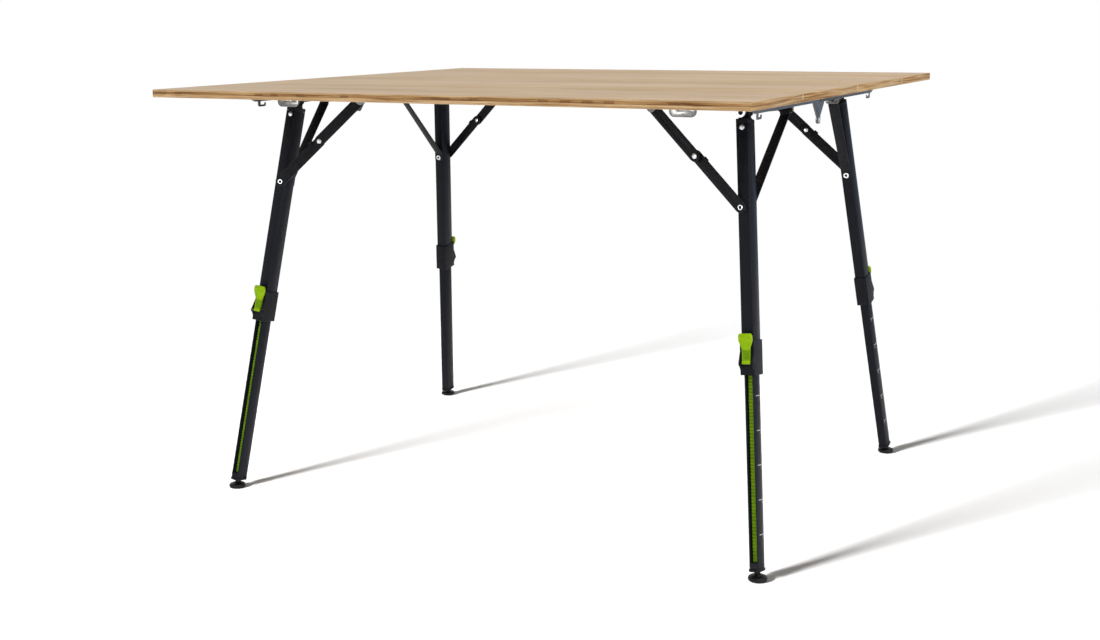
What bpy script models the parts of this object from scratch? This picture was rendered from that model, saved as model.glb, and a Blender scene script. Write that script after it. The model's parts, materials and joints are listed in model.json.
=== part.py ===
"""Camp kitchen table: a four-panel bamboo top on two hinged rails, with telescoping folding legs.

Metres, +Z up, origin on the floor under the middle of the top. X runs along the fold lines.
One corner is modelled, with its leg in the quadrant +X +Y, and its pieces are mirrored to the others.
"""

import math

import bmesh
import bpy
from mathutils import Matrix, Vector

# Top
TABLE_HEIGHT = 0.830
TOP_LENGTH = 1.200
TOP_WIDTH = 1.134
BOARD_THICKNESS = 0.0145
LEAF_WIDTH = 0.244
CORNER_RADIUS = 0.022
BOARD_EASE = 0.0012

# Clearances
CLEARANCE = 0.0003
FOLD_GAP = 0.0006
SLIDE_CLEARANCE = 0.0004

# Leg: the pivot, the skew of its hinge in plan, its splay and its two tubes
PIVOT_INSET = 0.1185
PIVOT_FROM_FOLD = 0.047
PIVOT_DROP = 0.021
HINGE_SKEW = math.radians(12)
SPLAY_OUT = math.radians(6.57)
SPLAY_SIDE = math.radians(10.1)
TUBE_X = 0.019
TUBE_Y = 0.034
TUBE_WALL = 0.0016
TUBE_RIDGE = 0.0016
TUBE_CORNER = 0.0014
CAP_TOP = 0.013
CAP_HEIGHT = 0.008
CAP_CHAMFER = 0.0026
PLUG_LENGTH = 0.024
NECK_X = 0.014
NECK_Y = 0.015
BARREL_LENGTH = 0.018
SHAFT_RADIUS = 0.004
BARREL_RADIUS = 0.0078
LOWER_WALL = 0.0018
SLIDER_OVERLAP = 0.0525

# Clamp
COLLAR_BOTTOM = 0.4555
COLLAR_HEIGHT = 0.061
COLLAR_SIDE_WALL = 0.0024
COLLAR_BACK_WALL = 0.002
COLLAR_FRONT_WALL = 0.0032
COLLAR_BEVEL = 0.0014
COLLAR_LIP = 0.008
EAR_THICKNESS = 0.003
EAR_REACH = 0.0085
EAR_LENGTH = 0.042
LEVER_LENGTH = 0.054
LEVER_HEAD = 0.023
LEVER_STEM = 0.0136
LEVER_THICKNESS = 0.0054
LEVER_BEND = 0.019
LEVER_LEAN = 0.0038
LEVER_EDGE = 0.0008
LEVER_SHOULDER = 0.011
LEVER_FLARE = 0.024
LEVER_CORNER = 0.0045
LEVER_STANDOFF = 0.0015
LEVER_END = 0.003
LEVER_ABOVE_BOTTOM = 0.017
LEVER_PIN_RADIUS = 0.002

# Rack in the lower tube's channel
CHANNEL_WIDTH = 0.008
CHANNEL_DEPTH = 0.0115
CHANNEL_END = 0.010
RACK_BASE = 0.0020
TOOTH_HEIGHT = 0.0018
TOOTH_PITCH = 0.006
TOOTH_RAMP = 0.0042

# Foot
FOOT_HEIGHT = 0.022
FOOT_RADIUS = 0.017
FOOT_DISC = 0.010
FLANGE_CORNER = 0.007
FLANGE_HEIGHT = 0.005
FLANGE_OVERHANG = 0.0015
FOOT_NECK_RADIUS = 0.0055

# Folding brace and the stay that share the pin on the leg
PIN_DOWN = 0.163
BRACE_DROP = 0.0138
BRACE_WIDTH = 0.0215
STRIP_THICKNESS = 0.002
BOSS_RADIUS = 0.0065
BOSS_HEIGHT = 0.0035
EYELET_RADIUS = 0.004
EYELET_BORE = 0.0026
EYELET_FLANGE = 0.0055
HEAD_THICKNESS = 0.001
LINK_SPACE = 0.003
PIN_RADIUS = 0.003
PIN_HEAD = 0.005
PIN_DOME = 0.003
PIN_DOME_HEIGHT = 0.0014
PIN_CROWN = 0.0002
PIN_FOOT = 0.0045
STAY_WIDTH = 0.020
STAY_REACH = 0.131
STAY_PAD = 0.018
STAY_TAB_DROP = 0.012
STAY_TAB_RISE = 0.0075

# Brace bracket under the top
BRACKET_SPACE = 0.0005
BRACKET_FLANGE = 0.030
BRACKET_LENGTH = 0.060
BRACKET_NECK_DROP = 0.011

# Half-rail
RAIL_THICKNESS = 0.002
RAIL_OUTER_INSET = 0.0715
RAIL_WIDTH = 0.0755
WING_REACH = 0.071
RAIL_TAPER = 0.040
SKIRT_DEPTH = 0.0185
INNER_SKIRT_DEPTH = 0.018
INNER_SKIRT_START = 0.045
INNER_SKIRT_END = 0.160
END_PLATE_INSET = 0.014
END_PLATE_LENGTH = 0.050
END_PLATE_DEPTH = 0.024
END_PLATE_CORNER = 0.0095
END_PLATE_TONGUE = 0.046
END_SLOT_LENGTH = 0.018
END_SLOT_HEIGHT = 0.007
END_SLOT_DROP = 0.0055
END_SLOT_CORNER = 0.003
CHEEK_SPACE = 0.0115
CHEEK_RADIUS = 0.0098
STAY_CHEEK_HALF = 0.0135
STAY_CHEEK_DROP = 0.0095
STAY_CHEEK_CORNER = 0.006
HOOK_INSET = 0.009
HOOK_LENGTH = 0.024
HOOK_DEPTH = 0.0105
HOOK_BAR = 0.0038
FOLD_AXIS_DROP = 0.0515
FOLD_TAB_HALF = 0.040
FOLD_TAB_TIP = 0.008
FOLD_PIN_RADIUS = 0.003
FOLD_TAB_STEP = 0.003

# Facets on round pieces, and the sharpest bend that a rim's bevel leaves alone, in degrees
ROUND_SIDES = 12
ARC_STEPS = 5
FOOT_SIDES = 18
RIM_ANGLE = 60

# Outlines are filled in millimetres, because Blender's fill merges points that are very near
MM = 0.001

# Places worked out from the sizes above
UNDERSIDE = TABLE_HEIGHT - BOARD_THICKNESS
INNER_HALF = TOP_WIDTH / 2 - LEAF_WIDTH
PIVOT = Vector((TOP_LENGTH / 2 - PIVOT_INSET, INNER_HALF - PIVOT_FROM_FOLD, UNDERSIDE - PIVOT_DROP))
LEG_POSE = Matrix.Rotation(-SPLAY_OUT, 4, "Y") @ Matrix.Rotation(SPLAY_SIDE, 4, "X")
HINGE_TURN = Matrix.Rotation(HINGE_SKEW, 4, "Z")
LEG_DOWN = (HINGE_TURN.inverted() @ LEG_POSE).to_3x3() @ Vector((0, 0, -1))
SWING_OUT = math.atan2(LEG_DOWN.x, -LEG_DOWN.z)
SWING_SIDE = math.asin(LEG_DOWN.y)
SWING_TURN = HINGE_TURN @ Matrix.Rotation(-SWING_OUT, 4, "Y")
LEG_TURN = SWING_TURN.inverted() @ LEG_POSE
LEG_LENGTH = PIVOT.z / (math.cos(SPLAY_OUT) * math.cos(SPLAY_SIDE))
LOWER_X = TUBE_X - 2 * (TUBE_WALL + SLIDE_CLEARANCE)
LOWER_Y = TUBE_Y - 2 * (TUBE_WALL + SLIDE_CLEARANCE)
TUBE_TOP = CAP_TOP + CAP_HEIGHT + CLEARANCE
TUBE_BOTTOM = COLLAR_BOTTOM - COLLAR_LIP - CLEARANCE
SLIDER_TOP = TUBE_BOTTOM - SLIDER_OVERLAP
SLIDER_BOTTOM = LEG_LENGTH - FOOT_HEIGHT - CLEARANCE
COLLAR_FACE = TUBE_Y / 2 + CLEARANCE + COLLAR_FRONT_WALL
LEVER_PIVOT = Vector((
    0.0,
    COLLAR_FACE + LEVER_STANDOFF + LEVER_THICKNESS / 2,
    -(COLLAR_BOTTOM - LEVER_ABOVE_BOTTOM - LEVER_END),
))
ARM = PIN_DOWN * math.cos(SWING_SIDE)
PIN_PLACE = Vector((0.0, PIN_DOWN * math.sin(SWING_SIDE), -ARM))
BOSS_END = PIN_PLACE.y + TUBE_Y / 2 / LEG_TURN[1][1] + BOSS_HEIGHT
LOWER_LINK_Y = BOSS_END + CLEARANCE
UPPER_LINK_Y = LOWER_LINK_Y + STRIP_THICKNESS + LINK_SPACE
BRACKET_Y = UPPER_LINK_Y + STRIP_THICKNESS + BRACKET_SPACE
BRACE_FOOT = Vector((ARM * math.sin(SWING_OUT), 0.0, -ARM * math.cos(SWING_OUT)))
BRACE_RISE = PIVOT_DROP - BRACE_DROP
BRACE_TOP = Vector((-math.sqrt(ARM**2 - BRACE_RISE**2), 0.0, BRACE_RISE))
LINK_LENGTH = (BRACE_TOP - BRACE_FOOT).length / 2
BRACE_SLOPE = math.atan2(BRACE_TOP.z - BRACE_FOOT.z, BRACE_TOP.x - BRACE_FOOT.x)
RAIL_OUTER_X = TOP_LENGTH / 2 - RAIL_OUTER_INSET
RAIL_INNER_X = RAIL_OUTER_X - RAIL_WIDTH
RAIL_REACH = INNER_HALF + WING_REACH
WING_STRAIGHT = RAIL_REACH - RAIL_TAPER
RAIL_TOP = UNDERSIDE - CLEARANCE
RAIL_WEB = RAIL_TOP - RAIL_THICKNESS
END_PLATE_HIGH_X = RAIL_INNER_X - END_PLATE_INSET
END_PLATE_LOW_X = END_PLATE_HIGH_X - END_PLATE_LENGTH
FOLD_AXIS_Z = UNDERSIDE - FOLD_AXIS_DROP

CORNERS = {"fl": (-1, -1), "fr": (1, -1), "bl": (-1, 1), "br": (1, 1)}


def clear_scene():
    for obj in list(bpy.data.objects):
        bpy.data.objects.remove(obj, do_unlink=True)


def collection(name):
    made = bpy.data.collections.new(name)
    bpy.context.scene.collection.children.link(made)
    return made


def material(name, colour, roughness, metallic=0.0):
    made = bpy.data.materials.new(name)
    made.use_nodes = True
    shader = made.node_tree.nodes["Principled BSDF"]
    shader.inputs["Base Color"].default_value = (*colour, 1.0)
    shader.inputs["Roughness"].default_value = roughness
    shader.inputs["Metallic"].default_value = metallic
    return made


clear_scene()
TABLE = collection("camp_kitchen_table")
WORKSHOP = collection("cutters")

BAMBOO = material("bamboo", (0.56, 0.42, 0.27), 0.45)
CHARCOAL = material("charcoal_coat", (0.030, 0.031, 0.034), 0.45, 0.3)
GREY_STEEL = material("grey_steel", (0.10, 0.095, 0.09), 0.45, 0.5)
BLACK_STEEL = material("black_steel", (0.012, 0.012, 0.013), 0.4, 0.4)
ZINC = material("zinc", (0.62, 0.62, 0.62), 0.3, 0.9)
DARK_PLASTIC = material("dark_plastic", (0.018, 0.018, 0.020), 0.5)
LIME = material("lime_plastic", (0.30, 0.48, 0.01), 0.4)
RACK_GREEN = material("green_plastic", (0.12, 0.24, 0.012), 0.45)
RUBBER = material("rubber", (0.012, 0.012, 0.012), 0.75)


# Turns that stand a shape made about Z along X or Y
FACING_X = Matrix(((0, 0, 1, 0), (1, 0, 0, 0), (0, 1, 0, 0), (0, 0, 0, 1)))
FACING_Y = Matrix.Rotation(-math.pi / 2, 4, "X")


# Mesh tools


def helper(mesh):
    """A wire object in the cutters' collection that carries a mesh while it is worked on."""
    obj = bpy.data.objects.new("cutter", mesh)
    obj.hide_render = True
    obj.display_type = "WIRE"
    WORKSHOP.objects.link(obj)
    return obj


def settle(obj):
    """The mesh of an object with its modifiers applied. The workshop is left empty."""
    bpy.context.view_layer.update()
    graph = bpy.context.evaluated_depsgraph_get()
    mesh = bpy.data.meshes.new_from_object(obj.evaluated_get(graph), depsgraph=graph)
    for used in list(WORKSHOP.objects):
        bpy.data.objects.remove(used, do_unlink=True)
    return mesh


def combine(operation, base, *tools):
    body = helper(base)
    for tool in tools:
        step = body.modifiers.new(operation.lower(), "BOOLEAN")
        step.operation = operation
        step.object = helper(tool)
    return settle(body)


def fuse(base, *tools):
    return combine("UNION", base, *tools)


def cut(base, *tools):
    return combine("DIFFERENCE", base, *tools)


def common(base, *tools):
    return combine("INTERSECT", base, *tools)


def bevelled(mesh, width, segments=2, least_angle=40):
    body = helper(mesh)
    step = body.modifiers.new("bevel", "BEVEL")
    step.width = width
    step.segments = segments
    step.limit_method = "ANGLE"
    step.angle_limit = math.radians(least_angle)
    return settle(body)


def moved(mesh, matrix):
    mesh.transform(matrix)
    return mesh


def mesh_of(work):
    mesh = bpy.data.meshes.new("solid")
    work.to_mesh(mesh)
    work.free()
    return mesh


def block(low, high):
    """A box between two corners."""
    low, high = Vector(low), Vector(high)
    work = bmesh.new()
    bmesh.ops.create_cube(work, size=1.0)
    bmesh.ops.scale(work, vec=high - low, verts=work.verts)
    bmesh.ops.translate(work, vec=(low + high) / 2, verts=work.verts)
    return mesh_of(work)


def rod(radius, start, end, sides=ROUND_SIDES):
    """A round bar between two points."""
    start, end = Vector(start), Vector(end)
    work = bmesh.new()
    bmesh.ops.create_cone(
        work, cap_ends=True, segments=sides, radius1=radius, radius2=radius, depth=(end - start).length
    )
    turn = Vector((0, 0, 1)).rotation_difference(end - start).to_matrix().to_4x4()
    bmesh.ops.transform(work, matrix=Matrix.Translation((start + end) / 2) @ turn, verts=work.verts)
    return mesh_of(work)


def arc(centre, radius, start, end, steps=ARC_STEPS):
    """Points of an arc, from one angle in degrees to another."""
    angles = [math.radians(start + (end - start) * i / steps) for i in range(steps + 1)]
    return [(centre[0] + radius * math.cos(a), centre[1] + radius * math.sin(a)) for a in angles]


def round_rectangle(low, high, radius, steps=ARC_STEPS):
    (x0, y0), (x1, y1) = low, high
    return (
        arc((x1 - radius, y1 - radius), radius, 0, 90, steps)
        + arc((x0 + radius, y1 - radius), radius, 90, 180, steps)
        + arc((x0 + radius, y0 + radius), radius, 180, 270, steps)
        + arc((x1 - radius, y0 + radius), radius, 270, 360, steps)
    )


def circle(centre, radius, sides=ROUND_SIDES):
    return arc(centre, radius, 0, 360 - 360 / sides, sides - 1)


def strip(length, half_width):
    """The outline of a bar with round ends, from the origin along +X."""
    return arc((length, 0), half_width, -90, 90) + arc((0, 0), half_width, 90, 270)


def leg_section(half_x, low_y, high_y):
    """The outline of a leg's tubes: flat front and back, and sides with a low ridge along the middle."""
    flat, middle = half_x - TUBE_RIDGE - TUBE_CORNER, (low_y + high_y) / 2
    low, high = low_y + TUBE_CORNER, high_y - TUBE_CORNER
    return (
        [(half_x, middle)]
        + arc((flat, high), TUBE_CORNER, 0, 90, 2)
        + arc((-flat, high), TUBE_CORNER, 90, 180, 2)
        + [(-half_x, middle)]
        + arc((-flat, low), TUBE_CORNER, 180, 270, 2)
        + arc((flat, low), TUBE_CORNER, 270, 360, 2)
    )


def leg_bar(half_x, half_y, low, high):
    """A length of the leg's section, about the leg's axis."""
    return plate([leg_section(half_x, -half_y, half_y)], low, high)


def plate(outlines, low, high):
    """Flat outlines in X and Y, the later ones holes in the first, filled between two heights."""
    curve = bpy.data.curves.new("outline", "CURVE")
    curve.dimensions = "2D"
    curve.fill_mode = "BOTH"
    curve.extrude = (high - low) / 2 / MM
    for outline in outlines:
        spline = curve.splines.new("POLY")
        spline.points.add(len(outline) - 1)
        for point, (x, y) in zip(spline.points, outline):
            point.co = (x / MM, y / MM, 0.0, 1.0)
        spline.use_cyclic_u = True
    mesh = settle(helper(curve))
    work = bmesh.new()
    work.from_mesh(mesh)
    bmesh.ops.remove_doubles(work, verts=work.verts, dist=MM)
    bmesh.ops.scale(work, vec=(MM, MM, MM), verts=work.verts)
    bmesh.ops.recalc_face_normals(work, faces=work.faces)
    bmesh.ops.translate(work, vec=(0, 0, (low + high) / 2), verts=work.verts)
    return mesh_of(work)


def toothed_bar(outline, low, high):
    """One outline in X and Y, drawn as a face and extruded between two heights."""
    work = bmesh.new()
    face = work.faces.new([work.verts.new((x, y, low)) for x, y in outline])
    grown = bmesh.ops.extrude_face_region(work, geom=[face])["geom"]
    far = [item for item in grown if isinstance(item, bmesh.types.BMVert)]
    bmesh.ops.translate(work, vec=(0, 0, high - low), verts=far)
    bmesh.ops.recalc_face_normals(work, faces=work.faces)
    return mesh_of(work)


def plate_facing_y(outlines, low, high):
    """Outlines in X and Z, filled between two Y values."""
    return moved(plate(outlines, -high, -low), Matrix.Rotation(math.pi / 2, 4, "X"))


def plate_facing_x(outlines, low, high):
    """Outlines in Y and Z, filled between two X values."""
    return moved(plate(outlines, low, high), FACING_X)


def turned(profile, closed=False, sides=ROUND_SIDES):
    """A profile of radius and height turned about Z."""
    work = bmesh.new()
    verts = [work.verts.new((radius, 0.0, height)) for radius, height in profile]
    pairs = list(zip(verts, verts[1:]))
    if closed:
        pairs.append((verts[-1], verts[0]))
    for pair in pairs:
        work.edges.new(pair)
    body = helper(mesh_of(work))
    screw = body.modifiers.new("turn", "SCREW")
    screw.steps = sides
    screw.render_steps = sides
    screw.use_merge_vertices = True
    screw.merge_threshold = 1e-6
    work = bmesh.new()
    work.from_mesh(settle(body))
    bmesh.ops.recalc_face_normals(work, faces=work.faces)
    return mesh_of(work)


# Scene tree


def empty(name, parent, place=(0, 0, 0), turn=Matrix(), scale=(1, 1, 1)):
    made = bpy.data.objects.new(name, None)
    made.empty_display_size = 0.02
    made.parent = parent
    made.matrix_local = Matrix.Translation(place) @ turn @ Matrix.Diagonal((*scale, 1))
    TABLE.objects.link(made)
    return made


def part(name, mesh, look, parent):
    """One named sub-part, in its parent's frame."""
    shape = mesh.copy()
    shape.name = name
    shape.materials.clear()
    shape.materials.append(look)
    shape.shade_smooth()
    shape.set_sharp_from_angle(angle=math.radians(35))
    made = bpy.data.objects.new(name, shape)
    made.parent = parent
    TABLE.objects.link(made)
    return made


# Top


def inner_board():
    """One of the two middle panels, from the centre fold to a leaf."""
    low = (-TOP_LENGTH / 2, FOLD_GAP / 2, UNDERSIDE)
    high = (TOP_LENGTH / 2, INNER_HALF - FOLD_GAP / 2, TABLE_HEIGHT)
    return bevelled(block(low, high), BOARD_EASE)


def leaf_board():
    """An outer panel with two rounded corners. Its frame's origin is on the fold's axis."""
    half, far, near = TOP_LENGTH / 2, LEAF_WIDTH, FOLD_GAP / 2
    outline = (
        [(-half, near), (half, near)]
        + arc((half - CORNER_RADIUS, far - CORNER_RADIUS), CORNER_RADIUS, 0, 90)
        + arc((CORNER_RADIUS - half, far - CORNER_RADIUS), CORNER_RADIUS, 90, 180)
    )
    return bevelled(plate([outline], -BOARD_THICKNESS - CLEARANCE, -CLEARANCE), BOARD_EASE)


# Rails under the short ends


def fold_tab(plane_x, carries_pin):
    """Half of the triangle that hangs from a rail's middle to the centre fold's axis."""
    tip = (0.0, FOLD_AXIS_Z)
    root, skirt_low = RAIL_WEB + RAIL_THICKNESS / 2, RAIL_TOP - SKIRT_DEPTH
    outline = [(FOLD_TAB_HALF, skirt_low), (FOLD_TAB_HALF, root), (FOLD_GAP, root)]
    outline += [(FOLD_GAP, skirt_low - FOLD_GAP), *arc(tip, FOLD_TAB_TIP, 180, 315)]
    hole = circle(tip, FOLD_PIN_RADIUS + CLEARANCE)
    far_x = plane_x + RAIL_THICKNESS
    if not carries_pin:
        return plate_facing_x([outline, hole], plane_x, far_x)
    pin = rod(
        FOLD_PIN_RADIUS,
        (plane_x - FOLD_TAB_STEP - 2 * CLEARANCE, *tip),
        (far_x + HEAD_THICKNESS, *tip),
    )
    return fuse(plate_facing_x([outline], plane_x, far_x), pin)


def hook(plane_x):
    """A flat hook cut from the outer skirt, with its mouth towards the middle."""
    top = RAIL_TOP - SKIRT_DEPTH
    far = WING_STRAIGHT - HOOK_INSET
    near = far - HOOK_LENGTH
    bottom = top - HOOK_DEPTH
    outline = [
        (far, top + RAIL_THICKNESS),
        (far - 2 * HOOK_BAR, top + RAIL_THICKNESS),
        (far - 2 * HOOK_BAR, bottom + HOOK_BAR),
        (near + HOOK_BAR, bottom + HOOK_BAR),
        (near + HOOK_BAR, bottom + 2 * HOOK_BAR),
        (near, bottom + 2 * HOOK_BAR),
    ]
    outline += arc((near + HOOK_BAR, bottom + HOOK_BAR), HOOK_BAR, 180, 270, 3)
    outline += arc((far - HOOK_BAR, bottom + HOOK_BAR), HOOK_BAR, 270, 360, 3)
    return plate_facing_x([outline], plane_x, plane_x + RAIL_THICKNESS)


def bearing(half, rounding, along):
    """A cheek that hangs from the rail and carries the leg's shaft, this far along the hinge's axis."""
    top = RAIL_WEB + RAIL_THICKNESS / 2 - PIVOT.z
    outline = [(half, top), (-half, top), *rounding]
    hole = circle((0, 0), SHAFT_RADIUS + CLEARANCE)
    cheek = plate_facing_y([outline, hole], along, along + RAIL_THICKNESS)
    return moved(cheek, Matrix.Translation(PIVOT) @ HINGE_TURN)


def bearings():
    """The two round cheeks beside the leg and the wider one at the stay."""
    rounding = arc((0, 0), CHEEK_RADIUS, 180, 360)
    corner_x, corner_z = STAY_CHEEK_HALF - STAY_CHEEK_CORNER, STAY_CHEEK_CORNER - STAY_CHEEK_DROP
    wide_rounding = arc((-corner_x, corner_z), STAY_CHEEK_CORNER, 180, 270)
    wide_rounding += arc((corner_x, corner_z), STAY_CHEEK_CORNER, 270, 360)
    return [
        bearing(CHEEK_RADIUS, rounding, CHEEK_SPACE),
        bearing(CHEEK_RADIUS, rounding, -CHEEK_SPACE - RAIL_THICKNESS),
        bearing(STAY_CHEEK_HALF, wide_rounding, -STAY_REACH - CHEEK_RADIUS - RAIL_THICKNESS),
    ]


def end_plate():
    """The wing's end, turned down across the table beside the rail, with a slot."""
    top, low = RAIL_WEB + RAIL_THICKNESS / 2, RAIL_TOP - END_PLATE_DEPTH
    start, end, corner = END_PLATE_LOW_X, END_PLATE_HIGH_X, END_PLATE_CORNER
    middle = (start + end) / 2
    slot_top = RAIL_TOP - END_SLOT_DROP
    outline = [(end, top), (start, top)]
    outline += arc((start + corner, low + corner), corner, 180, 270)
    outline += arc((end - corner, low + corner), corner, 270, 360)
    slot = round_rectangle(
        (middle - END_SLOT_LENGTH / 2, slot_top - END_SLOT_HEIGHT),
        (middle + END_SLOT_LENGTH / 2, slot_top),
        END_SLOT_CORNER,
        3,
    )
    return plate_facing_y([outline, slot], RAIL_REACH - RAIL_THICKNESS, RAIL_REACH)


def half_rail(tab_in_skirt):
    """A pressed channel from the centre fold to a tapered wing under the leaf."""
    start, straight = FOLD_GAP, WING_STRAIGHT
    web_outline = [
        (RAIL_INNER_X, start),
        (RAIL_OUTER_X, start),
        (RAIL_OUTER_X, RAIL_REACH),
        (END_PLATE_LOW_X, RAIL_REACH),
        (END_PLATE_LOW_X, RAIL_REACH - END_PLATE_TONGUE / 2),
        (RAIL_INNER_X, RAIL_REACH - END_PLATE_TONGUE),
    ]
    web = plate([web_outline], RAIL_WEB, RAIL_TOP)
    skirt_low = RAIL_TOP - SKIRT_DEPTH
    skirt_x = RAIL_OUTER_X - RAIL_THICKNESS
    skirt_outline = [
        (RAIL_REACH, RAIL_WEB + RAIL_THICKNESS / 2),
        (start, RAIL_WEB + RAIL_THICKNESS / 2),
        (start, skirt_low),
        (straight, skirt_low),
        (RAIL_REACH, RAIL_WEB - RAIL_THICKNESS),
    ]
    skirt = plate_facing_x([skirt_outline], skirt_x, RAIL_OUTER_X)
    inner_skirt = block(
        (RAIL_INNER_X, INNER_SKIRT_START, RAIL_TOP - INNER_SKIRT_DEPTH),
        (RAIL_INNER_X + RAIL_THICKNESS, INNER_SKIRT_END, RAIL_WEB + RAIL_THICKNESS / 2),
    )
    tab_x = skirt_x if tab_in_skirt else skirt_x - FOLD_TAB_STEP
    tab = fold_tab(tab_x, tab_in_skirt)
    return fuse(web, skirt, inner_skirt, end_plate(), hook(skirt_x), tab, *bearings())


# Leg


def knuckle():
    """Plug, chamfered cap and neck on the cross shaft that the leg swings with."""
    bottom = -(CAP_TOP + CAP_HEIGHT)
    cap = bevelled(leg_bar(TUBE_X / 2, TUBE_Y / 2, bottom, -CAP_TOP), CAP_CHAMFER, 1, RIM_ANGLE)
    plug = leg_bar(LOWER_X / 2, LOWER_Y / 2, bottom - PLUG_LENGTH, bottom + CAP_HEIGHT / 2)
    neck = block((-NECK_X / 2, -NECK_Y / 2, bottom + CAP_HEIGHT / 2), (NECK_X / 2, NECK_Y / 2, 0))
    across = LEG_TURN.to_3x3().inverted() @ Vector((0, 1, 0))
    barrel = rod(BARREL_RADIUS, -across * BARREL_LENGTH / 2, across * BARREL_LENGTH / 2)
    inner_end = STAY_REACH + CHEEK_RADIUS + RAIL_THICKNESS + HEAD_THICKNESS
    outer_end = CHEEK_SPACE + RAIL_THICKNESS + HEAD_THICKNESS
    shaft = rod(SHAFT_RADIUS, -across * inner_end, across * outer_end)
    return fuse(cap, plug, neck, barrel, shaft)


def upper_tube():
    """The outer tube with the brace pin's boss on its outward face."""
    body = leg_bar(TUBE_X / 2, TUBE_Y / 2, -TUBE_BOTTOM, -TUBE_TOP)
    into_leg = LEG_TURN.inverted()
    boss = rod(BOSS_RADIUS, into_leg @ PIN_PLACE, into_leg @ Vector((0, BOSS_END, PIN_PLACE.z)))
    inner_x, inner_y = TUBE_X / 2 - TUBE_WALL, TUBE_Y / 2 - TUBE_WALL
    past = TUBE_X
    bore = leg_bar(inner_x, inner_y, -TUBE_BOTTOM - past, -TUBE_TOP + past)
    return cut(fuse(body, boss), bore)


def collar():
    """The clamp on the outer tube's end: a sleeve with a lip and two peaked ears for the lever."""
    half_x = TUBE_X / 2 + CLEARANCE + COLLAR_SIDE_WALL
    back = -(TUBE_Y / 2 + CLEARANCE + COLLAR_BACK_WALL)
    top = COLLAR_HEIGHT - COLLAR_BOTTOM
    body = plate([leg_section(half_x, back, COLLAR_FACE)], -COLLAR_BOTTOM, top)
    body = bevelled(body, COLLAR_BEVEL, 1, RIM_ANGLE)
    pivot = (LEVER_PIVOT.y, LEVER_PIVOT.z)
    root = COLLAR_FACE - COLLAR_FRONT_WALL / 2
    peak = EAR_REACH - (LEVER_PIVOT.y - COLLAR_FACE)
    ear_outline = [(root, pivot[1] + EAR_LENGTH / 2), (COLLAR_FACE, pivot[1] + EAR_LENGTH / 2)]
    ear_outline += arc(pivot, peak, 40, -90)
    ear_outline += [(root, pivot[1] - EAR_LENGTH / 3)]
    hole = circle(pivot, LEVER_PIN_RADIUS + CLEARANCE, 12)
    inner = LEVER_STEM / 2 + 2 * CLEARANCE
    ears = [
        plate_facing_x([ear_outline, hole], side, side + EAR_THICKNESS)
        for side in (inner, -inner - EAR_THICKNESS)
    ]
    wide_x, wide_y = TUBE_X / 2 + CLEARANCE, TUBE_Y / 2 + CLEARANCE
    wide = leg_bar(wide_x, wide_y, -COLLAR_BOTTOM + COLLAR_LIP, top + COLLAR_LIP)
    slim_x, slim_y = LOWER_X / 2 + SLIDE_CLEARANCE, LOWER_Y / 2 + SLIDE_CLEARANCE
    slim = leg_bar(slim_x, slim_y, -COLLAR_BOTTOM - COLLAR_LIP, top)
    return cut(fuse(body, *ears), wide, slim)


def lever():
    """A lever that flares to a flat head, which leans away from the leg. Its frame's origin is on its pin."""
    top = LEVER_LENGTH - LEVER_END
    head, stem = LEVER_HEAD / 2, LEVER_STEM / 2
    half, out = LEVER_THICKNESS / 2, LEVER_THICKNESS / 2 + LEVER_LEAN
    right = [(stem, -LEVER_END), (stem, LEVER_FLARE), (head, top - LEVER_SHOULDER)]
    right += arc((head - LEVER_CORNER, top - LEVER_CORNER), LEVER_CORNER, 0, 90, 4)
    left = [(-x, z) for x, z in reversed(right)]
    front = plate_facing_y([right + left], -half, out + LEVER_THICKNESS)
    side = [(half, -LEVER_END - half), (half, LEVER_BEND), (out, top - half), (out, top + half)]
    side += [(-half + LEVER_LEAN, top + half), (-half, LEVER_BEND), (-half, -LEVER_END - half)]
    body = bevelled(common(front, plate_facing_x([side], -head - half, head + half)), LEVER_EDGE, 1)
    reach = LEVER_STEM / 2 + EAR_THICKNESS + HEAD_THICKNESS
    return fuse(body, rod(LEVER_PIN_RADIUS, (-reach, 0, 0), (reach, 0, 0), 12))


def lower_tube():
    """The sliding tube, open at the top, with the rack's channel in its outward face."""
    body = leg_bar(LOWER_X / 2, LOWER_Y / 2, -SLIDER_BOTTOM, -SLIDER_TOP)
    past = TUBE_X
    channel = block(
        (-CHANNEL_WIDTH / 2, LOWER_Y / 2 - CHANNEL_DEPTH, -SLIDER_BOTTOM + CHANNEL_END),
        (CHANNEL_WIDTH / 2, LOWER_Y / 2 + past, -SLIDER_TOP + past),
    )
    floor = LOWER_Y / 2 - CHANNEL_DEPTH - LOWER_WALL
    section = leg_section(LOWER_X / 2 - LOWER_WALL, LOWER_WALL - LOWER_Y / 2, floor)
    hollow = plate([section], -SLIDER_BOTTOM + 2 * CHANNEL_END, -SLIDER_TOP + past)
    return cut(body, channel, hollow)


def rack():
    """A toothed bar that lies in the channel."""
    seat = LOWER_Y / 2 - CHANNEL_DEPTH + CLEARANCE
    low = -SLIDER_BOTTOM + CHANNEL_END + CLEARANCE
    teeth = int((-SLIDER_TOP - CLEARANCE - low) / TOOTH_PITCH)
    face = seat + RACK_BASE
    outline = [(seat, low + teeth * TOOTH_PITCH), (seat, low)]
    for i in range(teeth):
        root = low + i * TOOTH_PITCH
        outline += [(face, root), (face + TOOTH_HEIGHT, root + TOOTH_RAMP)]
    outline += [(face, low + teeth * TOOTH_PITCH)]
    half = CHANNEL_WIDTH / 2 - CLEARANCE
    return moved(toothed_bar(outline, -half, half), FACING_X)


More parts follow.
